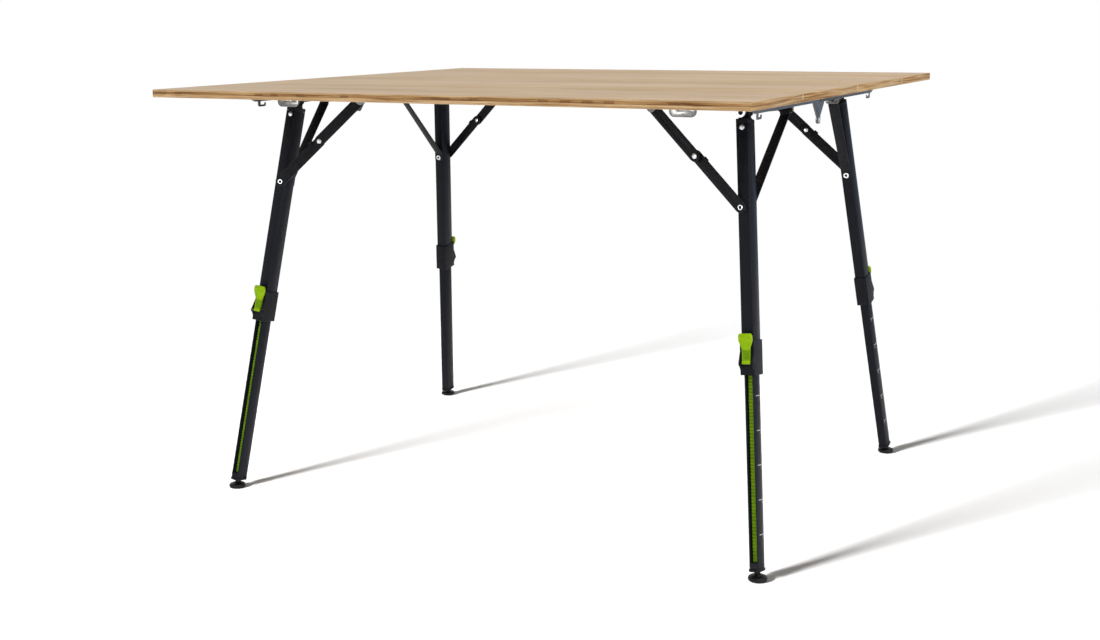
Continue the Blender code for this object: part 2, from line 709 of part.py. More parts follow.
def foot():
    """An oblong flange and a neck on a round rubber disc that lies flat on the floor."""
    flange_x, flange_y = LOWER_X / 2 + FLANGE_OVERHANG, LOWER_Y / 2 + FLANGE_OVERHANG
    flange_top = FOOT_HEIGHT - LEG_LENGTH
    outline = round_rectangle((-flange_x, -flange_y), (flange_x, flange_y), FLANGE_CORNER)
    flange = plate([outline], flange_top - FLANGE_HEIGHT, flange_top)
    rim = FOOT_DISC / 2
    neck = rod(FOOT_NECK_RADIUS, (0, 0, rim - LEG_LENGTH), (0, 0, flange_top - FLANGE_HEIGHT / 2))
    profile = [(0.0, 0.0), *arc((FOOT_RADIUS - rim, rim), rim, -90, 90, 4), (0.0, FOOT_DISC)]
    level = LEG_POSE.inverted()
    disc = moved(turned(profile, sides=FOOT_SIDES), Matrix.Translation((0, 0, -LEG_LENGTH)) @ level)
    return fuse(disc, neck, flange)


# Stay, braces and their pins


def stay():
    """A bent strip from the leg's inner face to an eye on the shaft, in the swing's frame."""
    seat = -(TUBE_Y / 2 + CLEARANCE)
    on_leg = [Vector((0, seat, -PIN_DOWN - side * STAY_PAD / 2)) for side in (1, -1)]
    on_shaft = [Vector((0, -STAY_REACH, height)) for height in (-STAY_TAB_DROP, STAY_TAB_RISE)]
    across = Vector((STAY_WIDTH / 2, 0, 0))
    work = bmesh.new()
    rows = [
        [work.verts.new(LEG_TURN @ (at + side * across)) for at in on_leg]
        + [work.verts.new(at + side * across) for at in on_shaft]
        for side in (-1, 1)
    ]
    for i in range(len(rows[0]) - 1):
        work.faces.new((rows[0][i], rows[1][i], rows[1][i + 1], rows[0][i + 1]))
    body = helper(mesh_of(work))
    thicken = body.modifiers.new("thickness", "SOLIDIFY")
    thicken.thickness = STRIP_THICKNESS
    thicken.offset = 1.0
    thicken.use_even_offset = True
    reach = 4 * STRIP_THICKNESS
    eye = rod(SHAFT_RADIUS + CLEARANCE, (0, -STAY_REACH - reach, 0), (0, -STAY_REACH + reach, 0))
    return cut(settle(body), eye)


def eyelet():
    """A hollow rivet on the leg's boss. Its frame's origin is where the pin's axis meets the leg's."""
    start = LOWER_LINK_Y - PIN_PLACE.y
    seat = start + STRIP_THICKNESS + CLEARANCE
    profile = [
        (EYELET_BORE, start),
        (EYELET_RADIUS, start),
        (EYELET_RADIUS, seat),
        (EYELET_FLANGE, seat),
        (EYELET_FLANGE - HEAD_THICKNESS / 2, seat + HEAD_THICKNESS),
        (EYELET_BORE, seat + HEAD_THICKNESS),
    ]
    return moved(turned(profile, closed=True), FACING_Y)


def lower_link():
    """The brace's lower strip. Its frame's origin is on the leg's pin, with +X towards the middle pin."""
    low = LOWER_LINK_Y - PIN_PLACE.y
    hole = circle((0, 0), EYELET_RADIUS + CLEARANCE)
    return plate_facing_y([strip(LINK_LENGTH, BRACE_WIDTH / 2), hole], low, low + STRIP_THICKNESS)


def upper_link():
    """The brace's upper strip. Its frame's origin is on the bracket's pin, with +X towards the middle pin."""
    low = UPPER_LINK_Y
    holes = [circle((at, 0), PIN_RADIUS + CLEARANCE) for at in (0, LINK_LENGTH)]
    return plate_facing_y([strip(LINK_LENGTH, BRACE_WIDTH / 2), *holes], low, low + STRIP_THICKNESS)


def rivet(low, high, inner_head):
    """A pin with a domed head past high and a flat head, inner_head thick, before low."""
    dome, seat = high + PIN_DOME_HEIGHT, high + CLEARANCE
    profile = [(0.0, dome + PIN_CROWN), (PIN_DOME, dome), (PIN_HEAD, seat), (PIN_RADIUS, seat)]
    profile += [(PIN_RADIUS, low - CLEARANCE), (PIN_FOOT, low - CLEARANCE)]
    profile += [(PIN_FOOT, low - inner_head), (0.0, low - inner_head)]
    return moved(turned(profile), FACING_Y)


def middle_pin():
    """The pin where the two links meet, carried by the upper one."""
    low = UPPER_LINK_Y
    made = rivet(low, low + STRIP_THICKNESS, LINK_SPACE - CLEARANCE)
    return moved(made, Matrix.Translation((LINK_LENGTH, 0, 0)))


def bracket():
    """A pressed angle under the inner board with the upper link's pin, in the hinge's frame."""
    low_y = BRACKET_Y
    high_y = low_y + STRIP_THICKNESS
    pin = (BRACE_TOP.x, BRACE_TOP.z)
    nose = BRACE_WIDTH / 2
    left, top = pin[0] - nose, RAIL_TOP - PIVOT.z
    right, neck_low, bend = left + BRACKET_LENGTH, top - BRACKET_NECK_DROP, STRIP_THICKNESS / 2
    outline = [(right, top - bend), (left, top - bend)]
    outline += arc(pin, nose, 180, 330)
    outline += [(pin[0] + 2 * nose, neck_low), (right, neck_low)]
    skirt = plate_facing_y([outline], low_y, high_y)
    flange = block((left, high_y - BRACKET_FLANGE, top - STRIP_THICKNESS), (right, high_y - bend, top))
    link_low, pin_end = UPPER_LINK_Y, high_y + HEAD_THICKNESS
    stem = rod(PIN_RADIUS, (pin[0], link_low - HEAD_THICKNESS, pin[1]), (pin[0], pin_end, pin[1]))
    head = rod(
        PIN_FOOT,
        (pin[0], link_low - HEAD_THICKNESS - CLEARANCE, pin[1]),
        (pin[0], link_low - CLEARANCE, pin[1]),
    )
    return fuse(skirt, flange, stem, head)


# Assembly


def build_top(sides):
    board, leaf = inner_board(), leaf_board()
    for word, side in sides.items():
        half = empty(f"half_{word}", None, scale=(1, side, 1))
        fold = empty(f"leaf_fold_{word}", half, (0, INNER_HALF, TABLE_HEIGHT + CLEARANCE))
        part(f"board_{word}", board, BAMBOO, half)
        part(f"leaf_{word}", leaf, BAMBOO, fold)


def build_corner(tag, meshes):
    side_x, side_y = CORNERS[tag]
    corner = empty(f"corner_{tag}", None, scale=(side_x, side_y, 1))
    hinge = empty(f"hinge_{tag}", corner, PIVOT, HINGE_TURN)
    swing = empty(f"swing_{tag}", corner, PIVOT, SWING_TURN)
    leg = empty(f"leg_axis_{tag}", swing, turn=LEG_TURN)
    grip = empty(f"lever_pivot_{tag}", leg, LEVER_PIVOT)
    aim_low = Matrix.Rotation(-BRACE_SLOPE + SWING_OUT, 4, "Y")
    aim_high = Matrix.Rotation(math.pi - BRACE_SLOPE, 4, "Y")
    low_pin = empty(f"leg_pin_{tag}", swing, PIN_PLACE)
    low_link = empty(f"lower_link_{tag}", swing, PIN_PLACE, aim_low)
    high_link = empty(f"upper_link_{tag}", hinge, BRACE_TOP, aim_high)
    rail = "rail_front" if side_y < 0 else "rail_back"
    for name, mesh_name, look, parent in (
        ("rail", rail, GREY_STEEL, corner),
        ("bracket", "bracket", ZINC, hinge),
        ("knuckle", "knuckle", BLACK_STEEL, leg),
        ("upper_tube", "upper_tube", CHARCOAL, leg),
        ("collar", "collar", DARK_PLASTIC, leg),
        ("lever", "lever", LIME, grip),
        ("lower_tube", "lower_tube", CHARCOAL, leg),
        ("rack", "rack", RACK_GREEN, leg),
        ("foot", "foot", RUBBER, leg),
        ("stay", "stay", BLACK_STEEL, swing),
        ("eyelet", "eyelet", ZINC, low_pin),
        ("brace_lower", "brace_lower", BLACK_STEEL, low_link),
        ("brace_upper", "brace_upper", BLACK_STEEL, high_link),
        ("brace_pin", "brace_pin", ZINC, high_link),
    ):
        part(f"{name}_{tag}", meshes[mesh_name], look, parent)


def build():
    build_top({"front": -1, "back": 1})
    meshes = {
        "rail_front": half_rail(True),
        "rail_back": half_rail(False),
        "bracket": bracket(),
        "knuckle": knuckle(),
        "upper_tube": upper_tube(),
        "collar": collar(),
        "lever": lever(),
        "lower_tube": lower_tube(),
        "rack": rack(),
        "foot": foot(),
        "stay": stay(),
        "eyelet": eyelet(),
        "brace_lower": lower_link(),
        "brace_upper": upper_link(),
        "brace_pin": middle_pin(),
    }
    for tag in CORNERS:
        build_corner(tag, meshes)


build()
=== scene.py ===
"""The camp kitchen table as it looks.

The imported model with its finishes, fasteners and marks, then floor, light and camera.
"""

import json
import math

import bmesh
import bpy
from mathutils import Color, Matrix, Vector

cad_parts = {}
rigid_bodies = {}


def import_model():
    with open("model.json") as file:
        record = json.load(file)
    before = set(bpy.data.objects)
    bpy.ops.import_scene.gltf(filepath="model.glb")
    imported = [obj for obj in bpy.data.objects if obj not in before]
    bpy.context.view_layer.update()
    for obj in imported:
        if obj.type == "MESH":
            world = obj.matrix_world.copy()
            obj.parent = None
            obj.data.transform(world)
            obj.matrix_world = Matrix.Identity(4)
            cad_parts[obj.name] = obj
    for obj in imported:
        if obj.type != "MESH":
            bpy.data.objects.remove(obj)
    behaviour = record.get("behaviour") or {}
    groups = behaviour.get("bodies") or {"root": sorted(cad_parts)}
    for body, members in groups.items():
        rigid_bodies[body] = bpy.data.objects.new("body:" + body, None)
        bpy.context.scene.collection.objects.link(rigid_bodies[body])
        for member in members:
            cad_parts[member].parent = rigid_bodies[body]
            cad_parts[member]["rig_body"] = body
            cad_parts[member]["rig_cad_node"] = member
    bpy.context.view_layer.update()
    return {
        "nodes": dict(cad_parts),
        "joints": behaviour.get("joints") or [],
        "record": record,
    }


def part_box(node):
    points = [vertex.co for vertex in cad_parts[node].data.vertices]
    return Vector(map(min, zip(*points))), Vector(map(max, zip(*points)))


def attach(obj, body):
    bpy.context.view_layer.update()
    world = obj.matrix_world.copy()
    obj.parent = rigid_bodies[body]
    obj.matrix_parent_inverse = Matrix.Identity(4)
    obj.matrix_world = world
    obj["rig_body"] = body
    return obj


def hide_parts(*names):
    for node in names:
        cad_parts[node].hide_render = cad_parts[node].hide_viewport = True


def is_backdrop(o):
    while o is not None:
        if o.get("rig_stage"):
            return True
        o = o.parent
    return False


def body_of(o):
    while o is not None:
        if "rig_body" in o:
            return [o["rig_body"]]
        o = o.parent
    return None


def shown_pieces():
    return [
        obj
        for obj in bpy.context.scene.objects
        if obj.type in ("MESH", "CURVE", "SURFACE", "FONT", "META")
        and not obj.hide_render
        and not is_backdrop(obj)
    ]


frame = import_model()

NODES = frame["nodes"]
JOINTS = {joint["name"]: joint for joint in frame["joints"]}
BODY_OF = {
    node: body for body, nodes in frame["record"]["behaviour"]["bodies"].items() for node in nodes
}

# Camera, from the photograph's own perspective

LENS = 47.2
SENSOR = 36.0
CAMERA_PLACE = Vector((1.3576, -2.6611, 0.9621))
CAMERA_YAW = 0.4866
CAMERA_PITCH = 0.2086
CAMERA_ROLL = 0.0091

# Mesh work

MERGE = 0.00001
FLAT_ANGLE = math.radians(0.5)
SMOOTH_ANGLE = math.radians(35)
SQUARE_ON = 0.9
EASE_STEPS = 2
CORNER_STEPS = 6

# Small fasteners, in metres, with a dimple's shape as shares of its radius and the head's rise

ROUND_SIDES = 40
SINK = 0.0004
BOWL = ((1.0, 0.97), (0.6, 0.80), (0.0, 0.76))
RIVET_DIMPLE = 0.0012
LEG_RIVET_RADIUS = 0.0048
LEG_RIVET_RISE = 0.0022
LEG_RIVET_DROP = 0.0070
TAIL_RADIUS = 0.0058
TAIL_BORE = 0.0024
TAIL_RISE = 0.0016
EYELET_BORE = 0.0026
EYELET_BODY = 0.0040
EYELET_FLANGE = 0.0050
EYELET_LIP = 0.0010
PIN_BODY = 0.0030
PIN_FOOT = 0.0045
PIN_HEAD = 0.0048
PIN_RISE = 0.0014
PIN_TAIL = 0.0042
PIN_TAIL_RISE = 0.0009
PIN_TAIL_DIMPLE = 0.0010
WASHER_BORE = 0.0046
WASHER_RADIUS = 0.0090
WASHER_RISE = 0.0010
RING_EASE = 0.35
CHEEK_FACE = 0.0135
CAP_RADIUS = 0.0052
CAP_RISE = 0.0018
CAP_DIMPLE = 0.0014
SCREW_RADIUS = 0.0040
SCREW_RISE = 0.0022
SCREW_DIMPLE = 0.0015
RAIL_SCREWS = ((0.466, 0.050), (0.508, 0.050), (0.466, 0.215), (0.466, 0.312))
BRACKET_SCREW_IN = 0.011

# Sheet and strip that the pieces are pressed from, and the gap that they sit at

STRIP = 0.0020
SEAT_GAP = 0.0003
PRESSED_EASE = 0.0005

# Clamp lever, from its pin, with stations of height, width and share of its lean

LEVER_STEM = 0.0146
LEVER_HEAD = 0.0246
LEVER_THICKNESS = 0.0054
LEVER_FOOT = 0.0008
LEVER_LIP_TOP = 0.0052
LEVER_CREASE = 0.0215
LEVER_FLARE = 0.0262
LEVER_WIDEST = 0.0395
LEVER_TOP = 0.0520
LEVER_ROUND = 0.0040
LEVER_TIP_IN = 0.0024
LEVER_LEAN = 0.0038
LEVER_STATIONS = (
    (LEVER_LIP_TOP, LEVER_STEM, 0.0),
    (LEVER_CREASE, LEVER_STEM, 0.0),
    (LEVER_FLARE, LEVER_STEM, 0.16),
    (LEVER_WIDEST, LEVER_HEAD, 0.66),
    (LEVER_TOP - LEVER_ROUND, LEVER_HEAD, 0.92),
    (LEVER_TOP, LEVER_HEAD - 2 * LEVER_TIP_IN, 1.0),
)
LEVER_RIM = 0.0016
LEVER_SINK = 0.0011
LEVER_HEAD_RIM = 0.00256
LEVER_HEAD_SINK = 0.00066
LEVER_LIP_RISE = 0.00088
LEVER_EDGE = 0.0006
LEVER_PIN = 0.0020
LEVER_PIN_END = 0.0014
LEVER_PIN_REACH = 0.0108

# Foot, with the radius and height of each step at the pad's top

FOOT_RADIUS = 0.0170
FOOT_SOLE = 0.01224
FOOT_ROUND = 0.0048
FOOT_BOW = 80
FOOT_NECK = 0.0055
FOOT_TOP = ((0.01045, 0.0100), (0.007425, 0.0106), (FOOT_NECK, 0.0128), (0.0, 0.0128))
NECK_START = 0.0060
NECK_FLARE = 0.0015
NECK_TOP = 0.00715
FLANGE_HEIGHT = 0.0050
FLANGE_CORNER = 0.0070
FLANGE_EASE = 0.0009

# Leaf corners

LEAF_CORNER = 0.0035
LEAF_EASE = 0.0008

# Wider sections of the leg, as half-widths in the solid and in the look

TUBE_WIDEN = ((0.0, 0.0), (0.0079, 0.0110), (0.0095, 0.0128))
SLIDER_WIDEN = ((0.0, 0.0), (0.0040, 0.0062), (0.0059, 0.0086), (0.0075, 0.0107))
RACK_WIDEN = ((0.0, 0.0), (0.0037, 0.0043))
COLLAR_WIDEN = ((0.0, 0.0), (0.0079, 0.0111), (0.0102, 0.0131), (0.0122, 0.0140))
FLANGE_WIDEN = 1.25
LEG_DEEPEN = 1.03
BOSS_START = 0.0172
CAP_TOP = -0.0124
CAP_REACH = 0.0200

# Rack teeth

TOOTH_RISE = 0.0018
# Share of a tooth's rise, down from its crest, that the painted root shade leaves clear.
TOOTH_UNSHADED = 0.35

# Height marks on the sliding tubes

MARK_COUNT = 5
MARK_PITCH = 0.060
MARK_START = 0.036
MARK_LINE = 0.0011
MARK_RAISE = 0.00012
MARK_INNER = 0.70
MARK_OUTER = 0.55
MARK_FACE = 0.80
MARK_SLOPE = 0.90
NUMBER_SIZE = 0.0062
NUMBER_DROP = 0.0072
NUMBER_IN = 0.50

# Stop on the brace's lower link, from the middle pin

STOP_START = 0.0140
STOP_END = 0.0235
STOP_REACH = 0.0020
STOP_EASE = 0.0004

# Centre fold

FOLD_TIP = 0.0080


# Working on the mesh


def deselect():
    bpy.ops.object.select_all(action="DESELECT")


def take(obj):
    """Makes one object the only one selected, and active."""
    deselect()
    obj.select_set(True)
    bpy.context.view_layer.objects.active = obj
    return obj


def named(obj, name):
    obj.name = obj.data.name = name
    return obj


def started(name):
    """Names the primitive that was just added."""
    return take(named(bpy.context.object, name))


def plane(name, size):
    bpy.ops.mesh.primitive_plane_add(size=size)
    return started(name)


def edit(obj, mode="VERT"):
    take(obj)
    bpy.ops.object.mode_set(mode="EDIT")
    bpy.ops.mesh.select_mode(type=mode)


def select_all():
    bpy.ops.mesh.select_all(action="SELECT")


def leave():
    bpy.ops.object.mode_set(mode="OBJECT")


def pick(obj, test, kind="faces"):
    """In edit mode, selects the faces or edges for which the test is true, and nothing else."""
    bpy.ops.mesh.select_all(action="DESELECT")
    work = bmesh.from_edit_mesh(obj.data)
    for element in getattr(work, kind):
        if test(element):
            element.select_set(True)
    work.select_flush_mode()
    bmesh.update_edit_mesh(obj.data)


def front(low, high):
    """A test for faces that look along Y, between two heights."""
    return lambda face: face.normal.y > SQUARE_ON and low < face.calc_center_median().z < high


def mend():
    """In edit mode, merges doubles, turns every face outwards and leaves all selected."""
    select_all()
    bpy.ops.mesh.remove_doubles(threshold=MERGE)
    bpy.ops.mesh.normals_make_consistent(inside=False)


def smooth(obj):
    take(obj)
    bpy.ops.object.shade_smooth_by_angle(angle=SMOOTH_ANGLE)


def extrude(offset):
    bpy.ops.mesh.extrude_region_move(TRANSFORM_OT_translate={"value": offset})


def bow(centre, radius, start, end, steps=6):
    """Points of an arc in a profile, from one angle to another in degrees."""
    turns = (math.radians(start + (end - start) * i / steps) for i in range(steps + 1))
    return [(centre[0] + radius * math.cos(turn), centre[1] + radius * math.sin(turn)) for turn in turns]


def turned(name, profile, closed=False):
    """A piece turned about Z from a profile of radius and height, closed or from axis to axis."""
    obj = plane(name, SINK)
    edit(obj)
    select_all()
    bpy.ops.mesh.merge(type="CENTER")
    points = [Vector((radius, 0, height)) for radius, height in profile]
    if closed:
        points.append(points[0])
    bpy.ops.transform.translate(value=points[0])
    for before, after in zip(points, points[1:]):
        extrude(after - before)
    select_all()
    bpy.ops.mesh.spin(steps=ROUND_SIDES, angle=2 * math.pi, center=(0, 0, 0), axis=(0, 0, 1))
    mend()
    leave()
    smooth(obj)
    return obj


def block(name, low, high):
    """A box between two corners, to be shaped further."""
    low, high = Vector(low), Vector(high)
    bpy.ops.mesh.primitive_cube_add(size=1.0, location=(low + high) / 2, scale=high - low)
    obj = started(name)
    bpy.ops.object.transform_apply(location=True, rotation=True, scale=True)
    return obj


def upright(edge):
    run = edge.verts[1].co - edge.verts[0].co
    return abs(run.z) > run.length / 2


def round_corners(obj, radius, test):
    """Rounds the edges for which the test is true."""
    edit(obj, "EDGE")
    pick(obj, test, "edges")
    bpy.ops.mesh.bevel(offset=radius, segments=CORNER_STEPS, affect="EDGES")
    mend()
    leave()


def joined(name, parts):
    """Several finished shapes made one piece."""
    deselect()
    for part in parts:
        part.select_set(True)
    bpy.context.view_layer.objects.active = parts[0]
    bpy.ops.object.join()
    return started(name)


def copied(model, matrix, name):
    """A copy of a model with its own mesh and its place in that mesh."""
    obj = model.copy()
    obj.data = model.data.copy()
    named(obj, name)
    bpy.context.scene.collection.objects.link(obj)
    obj.data.transform(matrix)
    if matrix.determinant() < 0:
        obj.data.flip_normals()
    return obj


# The corners' own directions


FACING_X = Matrix.Rotation(math.pi / 2, 4, "Y")
FACING_Y = Matrix.Rotation(-math.pi / 2, 4, "X")
FACING_DOWN = Matrix.Rotation(math.pi, 4, "X")
UP = Vector((0, 0, 1))


def framed(x, y, z, place):
    """A matrix with these directions as its axes."""
    matrix = Matrix((x, y, z)).transposed().to_4x4()
    matrix.translation = place
    return matrix


def joint_vector(name, key):
    return Vector(JOINTS[name][key])


def shifted(x, y, z, facing):
    """A matrix that turns a piece to its facing and then moves it."""
    return Matrix.Translation((x, y, z)) @ facing


class Corner:
    """A table corner, with frames along its leg and along its hinge, whose X and Y point out of the table."""

    def __init__(self, tag):
        self.tag = tag
        self.half = BODY_OF[f"rail_{tag}"]
        self.pivot = joint_vector(f"leg_swing_{tag}", "pos_m")
        self.up = joint_vector(f"leg_retract_{tag}", "axis").normalized()
        self.side = self.outward(joint_vector(f"lever_flip_{tag}", "axis").normalized(), 0)
        self.out = self.outward(self.up.cross(self.side), 1)
        self.leg = framed(self.side, self.out, self.up, self.pivot)
        self.into_leg = self.leg.inverted()
        self.grip = framed(self.side, self.out, self.up, joint_vector(f"lever_flip_{tag}", "pos_m"))
        self.shaft = self.outward(joint_vector(f"leg_swing_{tag}", "axis").normalized(), 1)
        level = Vector((self.shaft.y, -self.shaft.x, 0.0))
        self.hinge = framed(self.outward(level, 0), self.shaft, UP, self.pivot)
        self.foot = self.pivot - self.up * (self.pivot.z / self.up.z)
        self.mirror = Matrix.Diagonal((math.copysign(1, self.pivot.x), math.copysign(1, self.pivot.y), 1, 1))

    def outward(self, vector, axis):
        """The vector, or its opposite, that points away from the table's middle along an axis."""
        return vector * math.copysign(1, vector[axis] * self.pivot[axis])

    def on_leg(self, place):
        return self.into_leg @ place

    def node_points(self, node, place):
        """A node's points in one of the frames."""
        inverse = place.inverted()
        return [inverse @ vertex.co for vertex in NODES[f"{node}_{self.tag}"].data.vertices]

    def leg_points(self, node):
        return self.node_points(node, self.leg)

    def hinge_points(self, node):
        return self.node_points(node, self.hinge)


def widened(x, steps):
    """A half-width of the solid as it looks, from pairs of both."""
    for (low, low_look), (high, high_look) in zip(steps, steps[1:]):
        if abs(x) <= high or high == steps[-1][0]:
            look = low_look + (abs(x) - low) * (high_look - low_look) / (high - low)
            return math.copysign(look, x)


def least(points, axis):
    return min(getattr(point, axis) for point in points)


def most(points, axis):
    return max(getattr(point, axis) for point in points)


def middle_of(points):
    """The middle of the box round some points."""
    return Vector([(min(values) + max(values)) / 2 for values in zip(*points)])


TABLE_CORNERS = [Corner(tag) for tag in ("fl", "fr", "bl", "br")]
PATTERN = TABLE_CORNERS[-1]

BOARD_LOW, BOARD_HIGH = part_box("board_front")
UNDERSIDE = BOARD_LOW.z
TOP = BOARD_HIGH.z
HALF_LENGTH = BOARD_HIGH.x
LEAF_FOLD = -BOARD_LOW.y
SHEET_FACE = UNDERSIDE - SEAT_GAP - STRIP
RAIL_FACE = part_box("rail_br")[1].x
FOLD_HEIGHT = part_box("rail_br")[0].z + FOLD_TIP

TUBE_POINTS = PATTERN.leg_points("upper_tube")
TUBE_TOP = most(TUBE_POINTS, "z")
TUBE_HEAD = [point for point in TUBE_POINTS if point.z > TUBE_TOP - LEG_RIVET_DROP]
TUBE_FACE = most(TUBE_HEAD, "y") * LEG_DEEPEN
LOWER_POINTS = PATTERN.leg_points("lower_tube")
LOWER_FACE = most(LOWER_POINTS, "y")
LOWER_OUTER = [point for point in LOWER_POINTS if point.y > LOWER_FACE * MARK_FACE]
LOWER_SIDE = widened(most(LOWER_POINTS, "x"), SLIDER_WIDEN)
LOWER_EDGE = widened(most(LOWER_OUTER, "x"), SLIDER_WIDEN)
COLLAR_BOTTOM = least(PATTERN.leg_points("collar"), "z")
RACK_CREST = most(PATTERN.leg_points("rack"), "y") * LEG_DEEPEN

FOOT_POINTS = PATTERN.leg_points("foot")
FLANGE_TOP = most(FOOT_POINTS, "z")
FLANGE_LOW = FLANGE_TOP - FLANGE_HEIGHT
FLANGE_RIM = [point for point in FOOT_POINTS if point.z > FLANGE_LOW + FLANGE_HEIGHT / 2]
FLANGE_X = most(FLANGE_RIM, "x") * FLANGE_WIDEN
FLANGE_Y = most(FLANGE_RIM, "y")

LEVER_HEIGHT = PATTERN.on_leg(PATTERN.grip.translation).z

STAY_POINTS = PATTERN.leg_points("stay")
STAY_LOW = least(STAY_POINTS, "z")
STAY_SEAT = least([point for point in STAY_POINTS if point.z < STAY_LOW + STRIP], "y")
EYELET_POINTS = PATTERN.hinge_points("eyelet")
BRACE_PIN_POINTS = PATTERN.hinge_points("brace_pin")
LEG_PIN_HINGE = middle_of(EYELET_POINTS)
LEG_PIN_PLACE = middle_of(PATTERN.leg_points("eyelet"))
MIDDLE_PIN = middle_of(BRACE_PIN_POINTS)
UPPER_FACE = most(PATTERN.hinge_points("brace_upper"), "y")

LINK_ALONG = Vector((LEG_PIN_HINGE.x - MIDDLE_PIN.x, 0.0, LEG_PIN_HINGE.z - MIDDLE_PIN.z)).normalized()
LINK_ACROSS = Vector((0.0, 1.0, 0.0))
LINK_ORIGIN = Vector((MIDDLE_PIN.x, 0.0, MIDDLE_PIN.z))
LINK_FRAME = PATTERN.hinge @ framed(LINK_ALONG, LINK_ACROSS, LINK_ALONG.cross(LINK_ACROSS), LINK_ORIGIN)
LINK_POINTS = PATTERN.node_points("brace_lower", LINK_FRAME)
LOWER_LINK_FACE = most(LINK_POINTS, "y")
LINK_HALF = most(LINK_POINTS, "z")


# Finishes


def operator(operation, swapped=False):
    """A method that adds the Math node of an operator."""

    def method(self, other=0.0):
        return self.math(operation, *((other, self) if swapped else (self, other)))

    return method


class Value:
    """A shader socket that Python's operators build on."""

    def __init__(self, nodes, socket):
        self.nodes = nodes
        self.socket = socket

    def math(self, operation, first, second):
        return self.nodes.node("ShaderNodeMath", {"operation": operation}, {0: first, 1: second})

    __add__ = __radd__ = operator("ADD")
    __sub__ = operator("SUBTRACT")
    __rsub__ = operator("SUBTRACT", swapped=True)
    __mul__ = __rmul__ = operator("MULTIPLY")
    __truediv__ = operator("DIVIDE")
    __mod__ = operator("FLOORED_MODULO")
    __gt__ = operator("GREATER_THAN")
    __lt__ = operator("LESS_THAN")
    __abs__ = operator("ABSOLUTE")
    __floor__ = operator("FLOOR")

    def between(self, low, high):
        """0 below low, 1 above high, and smooth between them."""
        sockets = {"Value": self, "From Min": low, "From Max": high}
        return self.nodes.node("ShaderNodeMapRange", {"interpolation_type": "SMOOTHSTEP"}, sockets)


class Nodes:
    """The node tree of a material, a lamp or the world."""

    def __init__(self, tree):
        self.tree = tree

    def feed(self, socket, value):
        if isinstance(value, Value):
            self.tree.links.new(value.socket, socket)
        else:
            socket.default_value = value

    def node(self, kind, settings=None, sockets=None, output=0):
        """Adds a node, makes its settings, then fills its sockets with values or links."""
        made = self.tree.nodes.new(kind)
        for key, value in (settings or {}).items():
            if key == "stops":
                self.stops(made.color_ramp, value)
            else:
                setattr(made, key, value)
        for key, value in (sockets or {}).items():
            self.feed(made.inputs[key], value)
        return Value(self, made.outputs[output])

    def stops(self, ramp, wanted):
        while len(ramp.elements) < len(wanted):
            ramp.elements.new(0.5)
        for element, (stop, tone) in zip(ramp.elements, wanted):
            element.position = stop
            element.color = tone

    def seen(self):
        """1 for the rays that show a surface itself: the camera's, a mirror's and those through glass."""
        path = self.node("ShaderNodeLightPath").socket.node.outputs
        rays = [Value(self, path[f"Is {kind} Ray"]) for kind in ("Camera", "Glossy", "Transmission")]
        return sum(rays, 0.0).between(0.0, 1.0)


class Look(Nodes):
    """A material's node tree, with its shader."""

    def __init__(self, name):
        self.material = bpy.data.materials.new(name)
        self.material.use_nodes = True
        super().__init__(self.material.node_tree)
        self.shader = self.tree.nodes["Principled BSDF"]

    def place(self):
        return self.node("ShaderNodeTexCoord", output="Object")

    def own(self, attribute):
        return self.node("ShaderNodeAttribute", {"attribute_name": attribute}, output="Vector")

    def worn(self):
        """1 on the narrow faces of rounded edges, where the finishes paint wear together with a highlight."""
        return self.node("ShaderNodeAttribute", {"attribute_name": "worn"}, output="Fac")

    def axes(self, vector):
        """The X, Y and Z of a vector."""
        split = self.node("ShaderNodeSeparateXYZ", sockets={"Vector": vector}).socket.node
        return [Value(self, split.outputs[axis]) for axis in "XYZ"]

    def stretched(self, vector, scale):
        return self.node("ShaderNodeMapping", sockets={"Vector": vector, "Scale": scale})

    def noise(self, vector, scale, detail=3.0, roughness=0.5):
        """Noise over a vector, which a scale of three numbers stretches."""
        if isinstance(scale, tuple):
            vector, scale = self.stretched(vector, scale), 1.0
        sockets = {"Vector": vector, "Scale": scale, "Detail": detail, "Roughness": roughness}
        return self.node("ShaderNodeTexNoise", sockets=sockets)

    def chance(self, value):
        """A number from 0 to 1 that is the same wherever the value is."""
        return self.node("ShaderNodeTexWhiteNoise", {"noise_dimensions": "1D"}, {"W": value})

    def mix(self, factor, first, second):
        sockets = {0: factor, 6: first, 7: second}
        return self.node("ShaderNodeMix", {"data_type": "RGBA"}, sockets, output=2)

    def ramp(self, value, *wanted):
        """Tones between screen colours, each with its stop."""
        stops = [(stop, solid(*tone)) for stop, tone in wanted]
        return self.node("ShaderNodeValToRGB", {"stops": stops}, {"Fac": value})

    def shades(self, value, dark, light, low=0.3, high=0.7):
        """A tone that runs from one screen colour to another."""
        return self.ramp(value, (low, dark), (high, light))

    def bump(self, height, strength, distance):
        sockets = {"Height": height, "Strength": strength, "Distance": distance}
        return self.node("ShaderNodeBump", sockets=sockets)

    def surface(self, **sockets):
        """Fills the shader's sockets, whose names are written with _ for a space."""
        for key, value in sockets.items():
            self.feed(self.shader.inputs[key.replace("_", " ")], value)
        return self.material


def solid(red, green, blue):
    """A screen colour from 0 to 255, as the shader's own linear colour."""
    return (*Color((red / 255, green / 255, blue / 255)).from_srgb_to_scene_linear(), 1.0)


# Strips, plies and marks of the bamboo, and where dust lies on the feet

